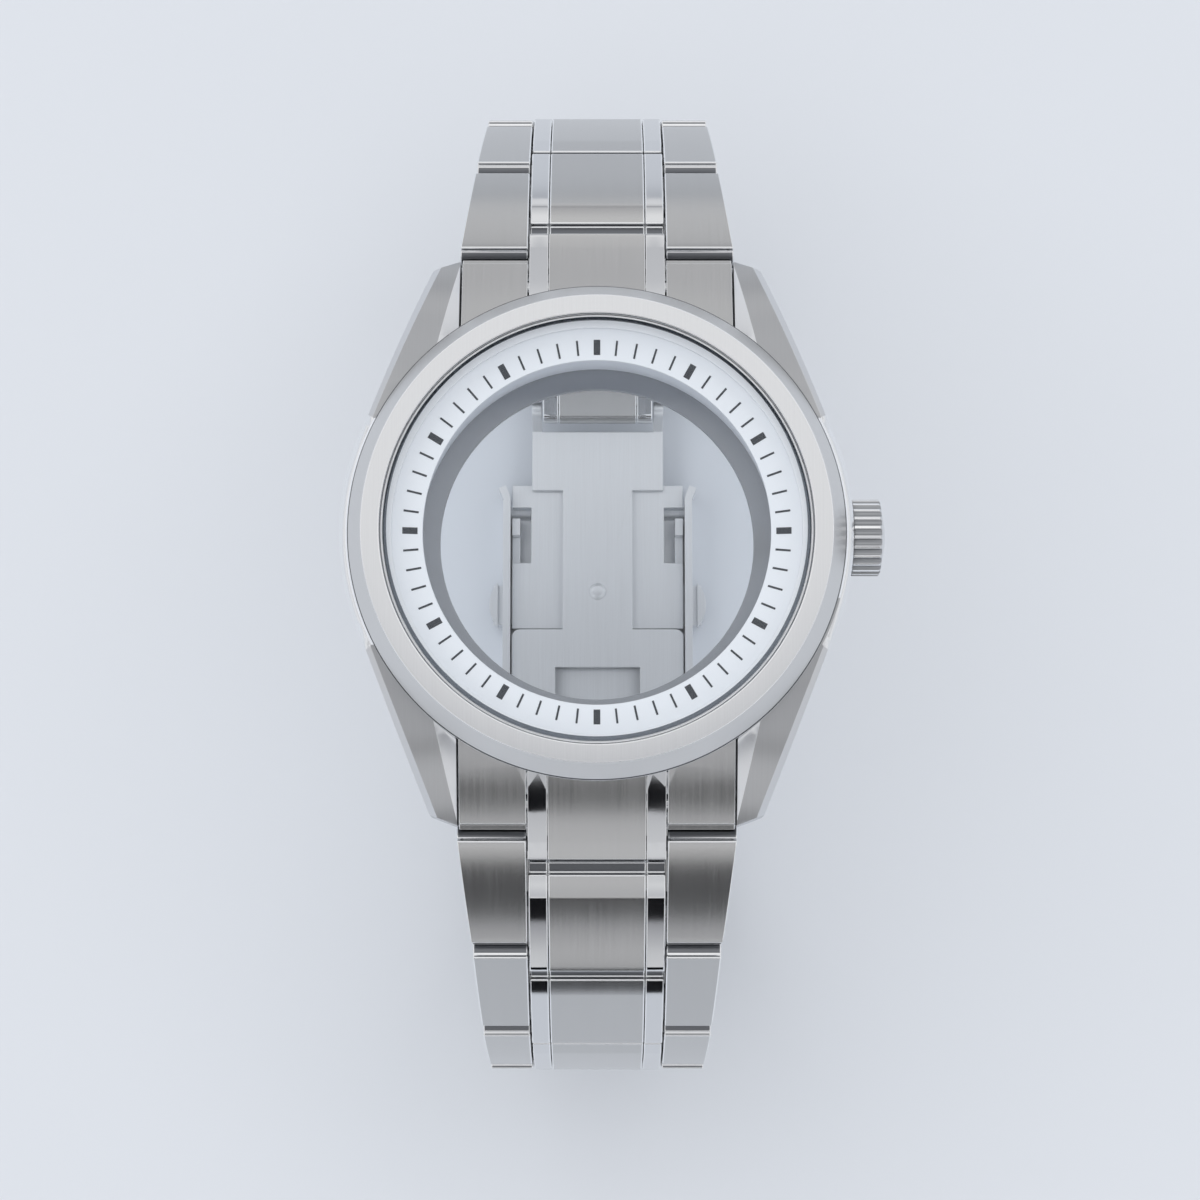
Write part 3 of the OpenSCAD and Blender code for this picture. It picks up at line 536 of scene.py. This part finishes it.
# The crystal is a flat disc of clear mineral glass with a coating and a ground rim.
# It is pushed into a thin white nylon gasket, which shows as a pale line round it.
def clear_glass(name, tint, rough):
    """Coated glass: light goes straight through but for the one percent that a face mirrors."""
    made = bpy.data.materials.new(name)
    made.use_nodes = True
    tree = made.node_tree
    tree.nodes.clear()
    # A face mirrors one percent straight on and more and more as it is seen edge on.
    edge_on = add(tree, "ShaderNodeLayerWeight", links={"Blend": 0.5})
    steep = add(
        tree,
        "ShaderNodeMath",
        {"operation": "POWER"},
        {0: edge_on.outputs["Facing"], 1: 5.0},
    )
    mirrored = add(
        tree,
        "ShaderNodeMapRange",
        links={"Value": steep.outputs[0], "To Min": 0.01, "To Max": 0.6},
    )
    through = add(tree, "ShaderNodeBsdfTransparent", links={"Color": linear(tint)})
    gleam = add(
        tree,
        "ShaderNodeBsdfGlossy",
        links={"Color": linear("#FFFFFF"), "Roughness": rough},
    )
    face = add(
        tree,
        "ShaderNodeMixShader",
        links={
            "Fac": mirrored.outputs["Result"],
            1: through.outputs["BSDF"],
            2: gleam.outputs["BSDF"],
        },
    )
    add(tree, "ShaderNodeOutputMaterial", links={"Surface": face.outputs["Shader"]})
    return made


crystal = lathed(
    "crystal_disc",
    [(0.0, 1.36), (16.66, 1.36), (16.66, 2.66), (16.36, 2.96), (0.0, 2.96)],
)
# The flat faces are nearly invisible. The rim and its chamfer are ground and grey.
crystal.data.materials.append(clear_glass("mineral_crystal", "#FDFEFF", 0.01))
crystal.data.materials.append(clear_glass("ground_glass_rim", "#858A90", 0.2))
for face in crystal.data.polygons:
    face.material_index = int(abs(face.normal.z) < 0.9)
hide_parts("crystal")
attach(crystal, "case")

# Moulded nylon is milky white with a soft sheen.
nylon = plain_material("white_nylon_moulded", "#F6F7F9", 0.42)
crystal_gasket = lathed(
    "crystal_gasket_ring",
    [(16.1, 1.09), (16.86, 1.09), (16.86, 2.45), (16.68, 2.45), (16.68, 1.34), (16.1, 1.34)],
)
crystal_gasket.data.materials.append(nylon)
broken_edges(crystal_gasket, 0.03, 1, 30)
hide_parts("crystal_gasket")
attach(crystal_gasket, "case")


# The chapter ring is turned brass, sprayed with satin white paint, and dropped in before
# the crystal. Its inner face slopes down to the dial and carries the minute track.
CONE_IN, CONE_OUT = 13.67, 16.45
CONE_LOW, CONE_HIGH = 0.4, 0.95
chapter = lathed(
    "chapter_ring_cone",
    [(CONE_IN, 0.0), (CONE_OUT, 0.0), (CONE_OUT, CONE_HIGH), (CONE_IN, CONE_LOW)],
)
# Satin paint is white from every side, with no more than a dull gleam.
white_paint = plain_material("satin_white_paint", "#EBEDF0", 0.38)
paint_tree = white_paint.node_tree
paint_place = add(paint_tree, "ShaderNodeTexCoord")
# Sprayed paint has a fine orange peel, about 0.3 mm from bump to bump.
PEEL_PER_METRE = 3300
paint_map = add(
    paint_tree,
    "ShaderNodeMapping",
    links={"Vector": paint_place.outputs["Object"], "Scale": [PEEL_PER_METRE] * 3},
)
paint_peel = add(
    paint_tree,
    "ShaderNodeTexNoise",
    links={"Vector": paint_map.outputs["Vector"], "Scale": 1.0, "Detail": 2.0},
)
paint_bump = add(
    paint_tree,
    "ShaderNodeBump",
    links={"Strength": 0.08, "Distance": 0.01 * MM, "Height": paint_peel.outputs["Fac"]},
)
paint_face = paint_tree.nodes["Principled BSDF"]
paint_tree.links.new(paint_bump.outputs["Normal"], paint_face.inputs["Normal"])
chapter.data.materials.append(white_paint)
broken_edges(chapter, 0.05, 2, 30)
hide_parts("chapter_ring")
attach(chapter, "case")


# The minute track is pad-printed in dark grey: sixty short bars, every fifth one broader.
# One bar is placed sixty times by rule, on the slope of the chapter ring.
track = bpy.data.node_groups.new("minute_track", "GeometryNodeTree")
track.interface.new_socket("Marks", in_out="OUTPUT", socket_type="NodeSocketGeometry")
for title, kind in (
    ("Count", "NodeSocketInt"), ("Inner radius", "NodeSocketFloat"), ("Length", "NodeSocketFloat"),
    ("Thin width", "NodeSocketFloat"), ("Broad width", "NodeSocketFloat"),
    ("Height", "NodeSocketFloat"), ("Slope", "NodeSocketFloat"), ("Ink", "NodeSocketMaterial"),
):
    track.interface.new_socket(title, in_out="INPUT", socket_type=kind)
track_in = add(track, "NodeGroupInput")
bar_size = add(
    track,
    "ShaderNodeCombineXYZ",
    links={"X": track_in.outputs["Length"], "Y": 1 * MM, "Z": 0.03 * MM},
)
bar = add(track, "GeometryNodeMeshCube", links={"Size": bar_size.outputs["Vector"]})
half_bar = add(
    track,
    "ShaderNodeMath",
    {"operation": "MULTIPLY_ADD"},
    {0: track_in.outputs["Length"], 1: 0.5, 2: track_in.outputs["Inner radius"]},
)
bar_spot = add(
    track,
    "ShaderNodeCombineXYZ",
    links={"X": half_bar.outputs[0], "Z": track_in.outputs["Height"]},
)
down_slope = add(
    track,
    "ShaderNodeMath",
    {"operation": "MULTIPLY"},
    {0: track_in.outputs["Slope"], 1: -1.0},
)
bar_tilt = add(track, "ShaderNodeCombineXYZ", links={"Y": down_slope.outputs[0]})
bar_out = add(
    track,
    "GeometryNodeTransform",
    links={
        "Geometry": bar.outputs["Mesh"],
        "Translation": bar_spot.outputs["Vector"],
        "Rotation": bar_tilt.outputs["Vector"],
    },
)
spots = add(
    track,
    "GeometryNodeMeshLine",
    links={"Count": track_in.outputs["Count"], "Offset": (0, 0, 0)},
)
number = add(track, "GeometryNodeInputIndex")
full_turn = add(
    track,
    "ShaderNodeMath",
    {"operation": "DIVIDE"},
    {0: 2 * math.pi, 1: track_in.outputs["Count"]},
)
turn = add(
    track,
    "ShaderNodeMath",
    {"operation": "MULTIPLY"},
    {0: number.outputs["Index"], 1: full_turn.outputs[0]},
)
turn_way = add(track, "ShaderNodeCombineXYZ", links={"Z": turn.outputs[0]})
fifth = add(track, "ShaderNodeMath", {"operation": "MODULO"}, {0: number.outputs["Index"], 1: 5.0})
is_hour = add(track, "ShaderNodeMath", {"operation": "LESS_THAN"}, {0: fifth.outputs[0], 1: 0.5})
bar_width = add(
    track,
    "ShaderNodeMix",
    {"data_type": "FLOAT"},
    {
        "Factor": is_hour.outputs[0],
        2: track_in.outputs["Thin width"],
        3: track_in.outputs["Broad width"],
    },
)
width_share = add(
    track,
    "ShaderNodeMath",
    {"operation": "DIVIDE"},
    {0: bar_width.outputs[0], 1: 1 * MM},
)
bar_scale = add(
    track,
    "ShaderNodeCombineXYZ",
    links={"X": 1.0, "Y": width_share.outputs[0], "Z": 1.0},
)
placed = add(
    track,
    "GeometryNodeInstanceOnPoints",
    links={
        "Points": spots.outputs["Mesh"],
        "Instance": bar_out.outputs["Geometry"],
        "Rotation": turn_way.outputs["Vector"],
        "Scale": bar_scale.outputs["Vector"],
    },
)
real = add(track, "GeometryNodeRealizeInstances", links={"Geometry": placed.outputs["Instances"]})
inked = add(
    track,
    "GeometryNodeSetMaterial",
    links={"Geometry": real.outputs["Geometry"], "Material": track_in.outputs["Ink"]},
)
add(track, "NodeGroupOutput", links={"Marks": inked.outputs["Geometry"]})

# Dried printing ink: dark grey rather than black, and dull.
ink = plain_material("pad_printed_grey_ink", "#3A3D42", 0.5)


def grown(name, tree, values):
    """The mesh that a Geometry Nodes tree makes from its named inputs, as a plain object."""
    host = bpy.data.objects.new(name + "_host", bpy.data.meshes.new(name + "_host"))
    bpy.context.collection.objects.link(host)
    rule = host.modifiers.new(name, "NODES")
    rule.node_group = tree
    for item in tree.interface.items_tree:
        if item.in_out == "INPUT" and item.name in values:
            rule[item.identifier] = values[item.name]
    host.update_tag()
    view = bpy.context.evaluated_depsgraph_get()
    mesh = bpy.data.meshes.new_from_object(host.evaluated_get(view))
    mesh.name = name
    bpy.data.objects.remove(host)
    piece = bpy.data.objects.new(name, mesh)
    bpy.context.collection.objects.link(piece)
    return piece


SLOPE = math.atan2(CONE_HIGH - CONE_LOW, CONE_OUT - CONE_IN)
MARK_IN = 14.05
MARK_LENGTH = 1.2
INK_PROUD = 0.012
mark_middle = MARK_IN + MARK_LENGTH / 2 - CONE_IN
minute_track = grown(
    "minute_track",
    track,
    {
        "Count": 60, "Inner radius": MARK_IN * MM, "Length": MARK_LENGTH * MM,
        "Thin width": 0.16 * MM, "Broad width": 0.52 * MM,
        "Height": (CONE_LOW + mark_middle * math.tan(SLOPE) + INK_PROUD) * MM,
        "Slope": SLOPE, "Ink": ink,
    },
)
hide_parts("minute_marks")
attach(minute_track, "case")


# The case back is a steel ring screwed in from below, with wrench notches and a window.
# Its glass sits in a nylon gasket, and a rubber ring in the case seals the joint.
back_ring = merged_copy("caseback_ring")
# Turned and then brushed straight: darker and rougher than the parts that show.
back_satin = brushed_steel("case_back_satin", "#B4B6BA", "X", 0.36, 0.01)
back_ring.data.materials.append(back_satin)
broken_edges(back_ring, 0.06)
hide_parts("caseback_ring")
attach(back_ring, "case_back")

back_glass = lathed(
    "case_back_window",
    [(0.0, -8.3), (13.48, -8.3), (13.63, -8.15), (13.63, -6.77), (13.48, -6.62), (0.0, -6.62)],
)
back_glass.data.materials.append(clear_glass("mineral_back_window", "#FDFEFF", 0.01))
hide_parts("caseback_glass")
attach(back_glass, "case_back")

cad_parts["caseback_glass_gasket"].data.materials[0] = nylon

# Moulded rubber is black and dull, with a greasy sheen at most.
rubber = plain_material("black_nitrile_rubber", "#1B1B1D", 0.62)
for node in ("caseback_gasket", "crown_gasket"):
    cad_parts[node].data.materials[0] = rubber


# The crown is turned from steel bar, its flutes are milled round it and its end is domed.
# It runs on a short tube pressed into the case, and all but its flutes is polished.
crown = merged_copy("crown")
# A milled flute is rougher than the land beside it, and its darker grey is painted shade in the
# hollow, so each one reads as a grey line.
flute_satin = polished_steel("steel_flute_milled", "#A6A8AB", 0.3)
# Buffed to a mirror: it has no tone of its own, only that of what stands before it.
mirror = polished_steel("steel_mirror_polished", "#D9DADC", 0.04)
# The crown's body takes the edges' pale steel, a painted highlight.
crown_finishes = (bright, flute_satin, mirror)
for material in crown_finishes:
    crown.data.materials.append(material)
CROWN_AXIS_Z = -3.1 * MM
FLUTE_EDGE_R = 3.03 * MM
END_ON = 0.3
for face in crown.data.polygons:
    from_axis = math.hypot(face.center.y, face.center.z - CROWN_AXIS_Z)
    if abs(face.normal.x) < END_ON and from_axis < FLUTE_EDGE_R:
        face.material_index = crown_finishes.index(flute_satin)
    elif face.normal.x > END_ON:
        face.material_index = crown_finishes.index(mirror)
broken_edges(crown, 0.05, 2, 25)
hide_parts("crown")
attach(crown, "crown")
for node in ("crown_tube", "lug_spring_bars", "clasp_spring_bar_12", "clasp_spring_bar_6"):
    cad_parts[node].data.materials[0] = mirror


# The end links fill the space between the lugs and are pinned by the spring bars.
# They are cut from the same steel as the links: brushed, with two mirror-polished strips.
STRIP_IN = 3.93 * MM
STRIP_OUT = 5.54 * MM
LINK_PITCH = 10.8 * MM
LINK_TURN = math.radians(19.2)
START_SLOPE = math.radians(28.2)
FIRST_HINGE = (24.1 * MM, -6.05 * MM)
LINK_TOP = 1.5 * MM
CROWN_R = 75 * MM
END_SLOPE = START_SLOPE - LINK_TURN / 2
END_CREST = 0.4 * LINK_PITCH
KNUCKLE_FROM = 0.9 * LINK_PITCH
BROKEN = 0.12
# The bracelet is brushed along its length with a fine belt: even, and a little glossy.
link_grain = brushed_steel("links_brushed_lengthwise", "#C9C9C9", "X", 0.25, 0.008)
# The faces inside a joint stay as the cutter left them, a little rougher, and their dark grey is
# painted shade between the links.
milled_and_shade = polished_steel("steel_joint_milled_and_painted_shade", "#7E8084", 0.34)
link_finishes = (link_grain, mirror, milled_and_shade)
for side in (12, 6):
    end_link = merged_copy(f"end_link_{side}")
    for material in link_finishes:
        end_link.data.materials.append(material)
    sign = 1 if side == 12 else -1
    # The knuckle's top is filed down flush with the crowned top of the link.
    for point in end_link.data.vertices:
        ahead = point.co.y * sign - FIRST_HINGE[0]
        rise = point.co.z - FIRST_HINGE[1]
        along = LINK_PITCH + ahead * math.cos(END_SLOPE) - rise * math.sin(END_SLOPE)
        out = ahead * math.sin(END_SLOPE) + rise * math.cos(END_SLOPE)
        top = LINK_TOP - CROWN_R + math.sqrt(CROWN_R**2 - (along - END_CREST) ** 2)
        if along > KNUCKLE_FROM and out > top:
            point.co.y -= sign * (out - top) * math.sin(END_SLOPE)
            point.co.z -= (out - top) * math.cos(END_SLOPE)
    end_link.data.update()
    for face in end_link.data.polygons:
        tilt = face.normal.y * sign * math.sin(END_SLOPE) + face.normal.z * math.cos(END_SLOPE)
        if abs(face.normal.x) < 0.5 and abs(tilt) < 0.7:
            face.material_index = link_finishes.index(milled_and_shade)
        elif STRIP_IN < abs(face.center.x) < STRIP_OUT or abs(face.normal.x) > 0.7:
            face.material_index = link_finishes.index(mirror)
    broken_edges(end_link, BROKEN, 3, finish=bright)
    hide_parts(f"end_link_{side}")
    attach(end_link, "case")


# The links are milled from bar and brushed along the bracelet: two outer pieces, a broad
# centre piece, and two mirror-polished strips between them, held by polished pins.
# One link is drawn flat, and a rule sets it at its hinge, turns it and narrows it.
SHORT_PITCH = 6.4 * MM
KNUCKLE_R = 1.35 * MM
LEAD = 1.03 * MM
TRAIL = 1.97 * MM
CENTRE_TRAIL = 2.3 * MM
FACET_FLAT = 1.64 * MM
FACET_END = 1.139 * MM
LIP_TOP = 0.75 * MM
LIP_FOOT = 0.3 * MM
LIP_REACH = 0.2 * MM
LIP_BACK = 1.5 * MM
LOW_FACE = 0.8 * MM
FOOT_LOW = 0.95 * MM
FOOT_BACK = 0.4 * MM
KNUCKLE_START = 270
KNUCKLE_END = 139.7
KNUCKLE_STEPS = 20
TOP_STEPS = 14
PIN_STEPS = 32
OUTER_IN = 5.6 * MM
OUTER_LINE = 6.2 * MM
BLOCK_HALF = 3.9 * MM
RAIL_IN = 3.95 * MM
RAIL_OUT = 5.48 * MM
PIN_R = 0.6 * MM
PIN_SHORT = 0.2 * MM
HALF_DRAWN = 10 * MM
LINK_COUNT = 7
# The bracelet narrows from 22 mm at the case towards 18 mm, by half of what is left each link.
WIDTHS = [(18 + 4 * 0.5**k) * MM for k in range(LINK_COUNT + 1)]


def link_side(pitch, turned):
    """The side view of an outer piece as (along, out) points; a centre piece is turned."""
    def top(y):
        return LINK_TOP - CROWN_R + math.sqrt(CROWN_R**2 - (y - pitch / 2) ** 2)

    end = pitch - (CENTRE_TRAIL if turned else TRAIL)
    crest_end = end - FACET_FLAT if turned else end
    lip = pitch - LIP_BACK
    line = []
    for i in range(KNUCKLE_STEPS + 1):
        a = math.radians(KNUCKLE_START - i * (KNUCKLE_START - KNUCKLE_END) / KNUCKLE_STEPS)
        line.append((KNUCKLE_R * math.cos(a), KNUCKLE_R * math.sin(a)))
    for i in range(TOP_STEPS + 1):
        y = -LEAD + (crest_end + LEAD) * i / TOP_STEPS
        line.append((y, top(y)))
    if turned:
        line.append((end, FACET_END))
    line += [
        (end, LIP_TOP), (lip + LIP_REACH, LIP_TOP), (lip, LIP_FOOT),
        (lip, -FOOT_LOW), (lip - FOOT_BACK, -KNUCKLE_R),
    ]
    return [(pitch - y, z) for y, z in line] if turned else line


def extruded(shape, line, x0, x1):
    """Adds a solid between two planes across the bracelet to an open bmesh."""
    near = [shape.verts.new((x0, y, z)) for y, z in line]
    far = [shape.verts.new((x1, y, z)) for y, z in line]
    shape.faces.new(near)
    shape.faces.new(far)
    for i in range(len(line)):
        j = (i + 1) % len(line)
        shape.faces.new((near[i], near[j], far[j], far[i]))


def round_bar(y, radius):
    """The side view of a pin at a distance along the link."""
    turns = [2 * math.pi * i / PIN_STEPS for i in range(PIN_STEPS)]
    return [(y + radius * math.cos(a), radius * math.sin(a)) for a in turns]


def flat_link(name, pieces, bevel):
    """One drawn piece of a link, its edges broken, as a pattern for the rule."""
    shape = bmesh.new()
    for line, x0, x1 in pieces:
        extruded(shape, line, x0, x1)
    bmesh.ops.recalc_face_normals(shape, faces=shape.faces)
    mesh = bpy.data.meshes.new(name)
    shape.to_mesh(mesh)
    shape.free()
    for material in link_finishes:
        mesh.materials.append(material)
    for face in mesh.polygons:
        on_lip = face.center.z < LOW_FACE and face.normal.z > 0.3
        faces_along = max(abs(face.normal.x), abs(face.normal.z)) < 0.3
        if on_lip or faces_along:
            finish = milled_and_shade
        else:
            on_strip = STRIP_IN < abs(face.center.x) < STRIP_OUT
            finish = mirror if on_strip else link_grain
        face.material_index = link_finishes.index(finish)
    drawn = bpy.data.objects.new(name, mesh)
    bpy.context.collection.objects.link(drawn)
    broken_edges(drawn, bevel, 3, finish=bright)
    baked = bpy.data.meshes.new_from_object(
        drawn.evaluated_get(bpy.context.evaluated_depsgraph_get())
    )
    drawn.modifiers.clear()
    drawn.data = baked
    return drawn


outer_patterns, centre_patterns = {}, {}
for title, pitch in (("full", LINK_PITCH), ("half", SHORT_PITCH)):
    side, turned = link_side(pitch, False), link_side(pitch, True)
    pin_end = HALF_DRAWN - PIN_SHORT
    outer_patterns[title] = flat_link(
        f"outer_{title}_pattern",
        [(side, OUTER_IN, HALF_DRAWN), (side, -HALF_DRAWN, -OUTER_IN),
         (round_bar(0, PIN_R), -pin_end, pin_end)],
        BROKEN,
    )
    centre_patterns[title] = flat_link(
        f"centre_{title}_pattern",
        [(turned, -BLOCK_HALF, BLOCK_HALF), (turned, RAIL_IN, RAIL_OUT),
         (turned, -RAIL_OUT, -RAIL_IN), (round_bar(pitch / 2, PIN_R), -pin_end, pin_end)],
        BROKEN,
    )

rule = bpy.data.node_groups.new("set_link_on_loop", "GeometryNodeTree")
rule.interface.new_socket("Link", in_out="OUTPUT", socket_type="NodeSocketGeometry")
for title, kind in (
    ("Pattern", "NodeSocketObject"), ("Hinge along", "NodeSocketFloat"),
    ("Hinge height", "NodeSocketFloat"), ("Slope", "NodeSocketFloat"),
    ("Side turn", "NodeSocketFloat"), ("Widening", "NodeSocketFloat"),
    ("Taper", "NodeSocketFloat"), ("Outer line", "NodeSocketFloat"),
    ("Brushed", "NodeSocketMaterial"), ("Polished", "NodeSocketMaterial"),
    ("Milled", "NodeSocketMaterial"), ("Burnished", "NodeSocketMaterial"),
):
    rule.interface.new_socket(title, in_out="INPUT", socket_type=kind)
rule_in = add(rule, "NodeGroupInput")
pattern = add(rule, "GeometryNodeObjectInfo", links={"Object": rule_in.outputs["Pattern"]})
spot = add(rule, "GeometryNodeInputPosition")
axes = add(rule, "ShaderNodeSeparateXYZ", links={"Vector": spot.outputs["Position"]})
reach = add(rule, "ShaderNodeMath", {"operation": "ABSOLUTE"}, {0: axes.outputs["X"]})
handed = add(rule, "ShaderNodeMath", {"operation": "SIGN"}, {0: axes.outputs["X"]})
beyond = add(
    rule,
    "ShaderNodeMath",
    {"operation": "GREATER_THAN"},
    {0: reach.outputs[0], 1: rule_in.outputs["Outer line"]},
)
wider = add(
    rule,
    "ShaderNodeMath",
    {"operation": "MULTIPLY_ADD"},
    {0: axes.outputs["Y"], 1: rule_in.outputs["Taper"], 2: rule_in.outputs["Widening"]},
)
outward = add(
    rule,
    "ShaderNodeMath",
    {"operation": "MULTIPLY"},
    {0: wider.outputs[0], 1: handed.outputs[0]},
)
counted = add(
    rule,
    "ShaderNodeMath",
    {"operation": "MULTIPLY"},
    {0: outward.outputs[0], 1: beyond.outputs[0]},
)
shift = add(rule, "ShaderNodeCombineXYZ", links={"X": counted.outputs[0]})
tapered = add(
    rule,
    "GeometryNodeSetPosition",
    links={"Geometry": pattern.outputs["Geometry"], "Offset": shift.outputs["Vector"]},
)
hinge = add(
    rule,
    "ShaderNodeCombineXYZ",
    links={"Y": rule_in.outputs["Hinge along"], "Z": rule_in.outputs["Hinge height"]},
)
lean = add(
    rule,
    "ShaderNodeMath",
    {"operation": "MULTIPLY"},
    {0: rule_in.outputs["Slope"], 1: -1.0},
)
turned_by = add(
    rule,
    "ShaderNodeCombineXYZ",
    links={"X": lean.outputs[0], "Z": rule_in.outputs["Side turn"]},
)
set_down = add(
    rule,
    "GeometryNodeTransform",
    links={
        "Geometry": tapered.outputs["Geometry"],
        "Translation": hinge.outputs["Vector"],
        "Rotation": turned_by.outputs["Vector"],
    },
)
made_real = add(
    rule,
    "GeometryNodeRealizeInstances",
    links={"Geometry": set_down.outputs["Geometry"]},
)
# The pattern's faces are numbered by finish, and each number gets its steel.
slot_number = add(rule, "GeometryNodeInputMaterialIndex")
link_now = made_real.outputs["Geometry"]
for number, finish in enumerate(("Brushed", "Polished", "Milled", "Burnished")):
    is_number = add(
        rule,
        "ShaderNodeMath",
        {"operation": "COMPARE"},
        {0: slot_number.outputs["Material Index"], 1: float(number), 2: 0.5},
    )
    dressed = add(
        rule,
        "GeometryNodeSetMaterial",
        links={
            "Geometry": link_now,
            "Selection": is_number.outputs[0],
            "Material": rule_in.outputs[finish],
        },
    )
    link_now = dressed.outputs["Geometry"]
add(rule, "NodeGroupOutput", links={"Link": link_now})

for side, side_turn in ((12, 0.0), (6, math.pi)):
    along, height = FIRST_HINGE
    for k in range(1, LINK_COUNT + 1):
        slope = START_SLOPE + (k - 0.5) * LINK_TURN
        half = side == 12 and k == LINK_COUNT
        pitch = SHORT_PITCH if half else LINK_PITCH
        values = {
            "Hinge along": along if side == 12 else -along, "Hinge height": height,
            "Slope": slope, "Side turn": side_turn, "Outer line": OUTER_LINE,
            "Widening": WIDTHS[k - 1] / 2 - HALF_DRAWN,
            "Taper": (WIDTHS[k] - WIDTHS[k - 1]) / 2 / LINK_PITCH,
            "Brushed": link_grain, "Polished": mirror, "Milled": milled_and_shade, "Burnished": bright,
        }
        title = "half" if half else "full"
        for part, patterns in (("outer_links", outer_patterns), ("centre_link", centre_patterns)):
            node = f"{part}_{side}_{k}"
            piece = grown(node + "_piece", rule, {**values, "Pattern": patterns[title]})
            piece.data.shade_smooth()
            flat = piece.modifiers.new("flat_faces", "WEIGHTED_NORMAL")
            flat.keep_sharp = False
            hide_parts(node)
            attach(piece, f"link_{side}_{k}")
        along += pitch * math.cos(slope)
        height -= pitch * math.sin(slope)
for drawn in list(outer_patterns.values()) + list(centre_patterns.values()):
    bpy.data.objects.remove(drawn)


# The clasp is pressed from sheet steel: a cover with two walls, two folding blades on
# riveted pins, a catch plate riveted to the tongue, and a sprung button on each side.

# Rolled sheet, satin and brushed along the bracelet like the links beside it. Its very pale colour
# is painted light, which lifts the clasp out of the shade inside the case.
sheet_satin = brushed_steel("clasp_sheet_satin", "#EFF1F4", "X", 0.32, 0.008)
cover_grain = brushed_steel("clasp_cover_brushed", "#EFF1F4", "X", 0.32, 0.008)
# Blasted before it is brushed, the sheet scatters part of its light as a dull surface does.
for finish in (sheet_satin, cover_grain):
    finish.node_tree.nodes["Principled BSDF"].inputs["Metallic"].default_value = 0.7
for node, body, finish, name, width in (
    ("clasp_cover", "clasp_cover", cover_grain, "clasp_brushed", 0.08),
    ("middle_blade", "middle_blade", sheet_satin, "blade_steel", 0.07),
    ("tongue_blade", "tongue_blade", sheet_satin, "blade_steel", 0.07),
    ("catch_plate", "tongue_blade", sheet_satin, "blade_steel", 0.06),
    ("blade_rivet", "tongue_blade", sheet_satin, "polished_steel", 0.05),
    ("push_button_left", "push_button_left", cover_grain, "clasp_brushed", 0.1),
    ("push_button_right", "push_button_right", cover_grain, "clasp_brushed", 0.1),
):
    piece = merged_copy(node)
    piece.data.materials.append(finish)
    broken_edges(piece, width)
    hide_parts(node)
    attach(piece, body)
for node in ("cover_hinge_pin", "blade_hinge_pin"):
    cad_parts[node].data.materials[0] = mirror
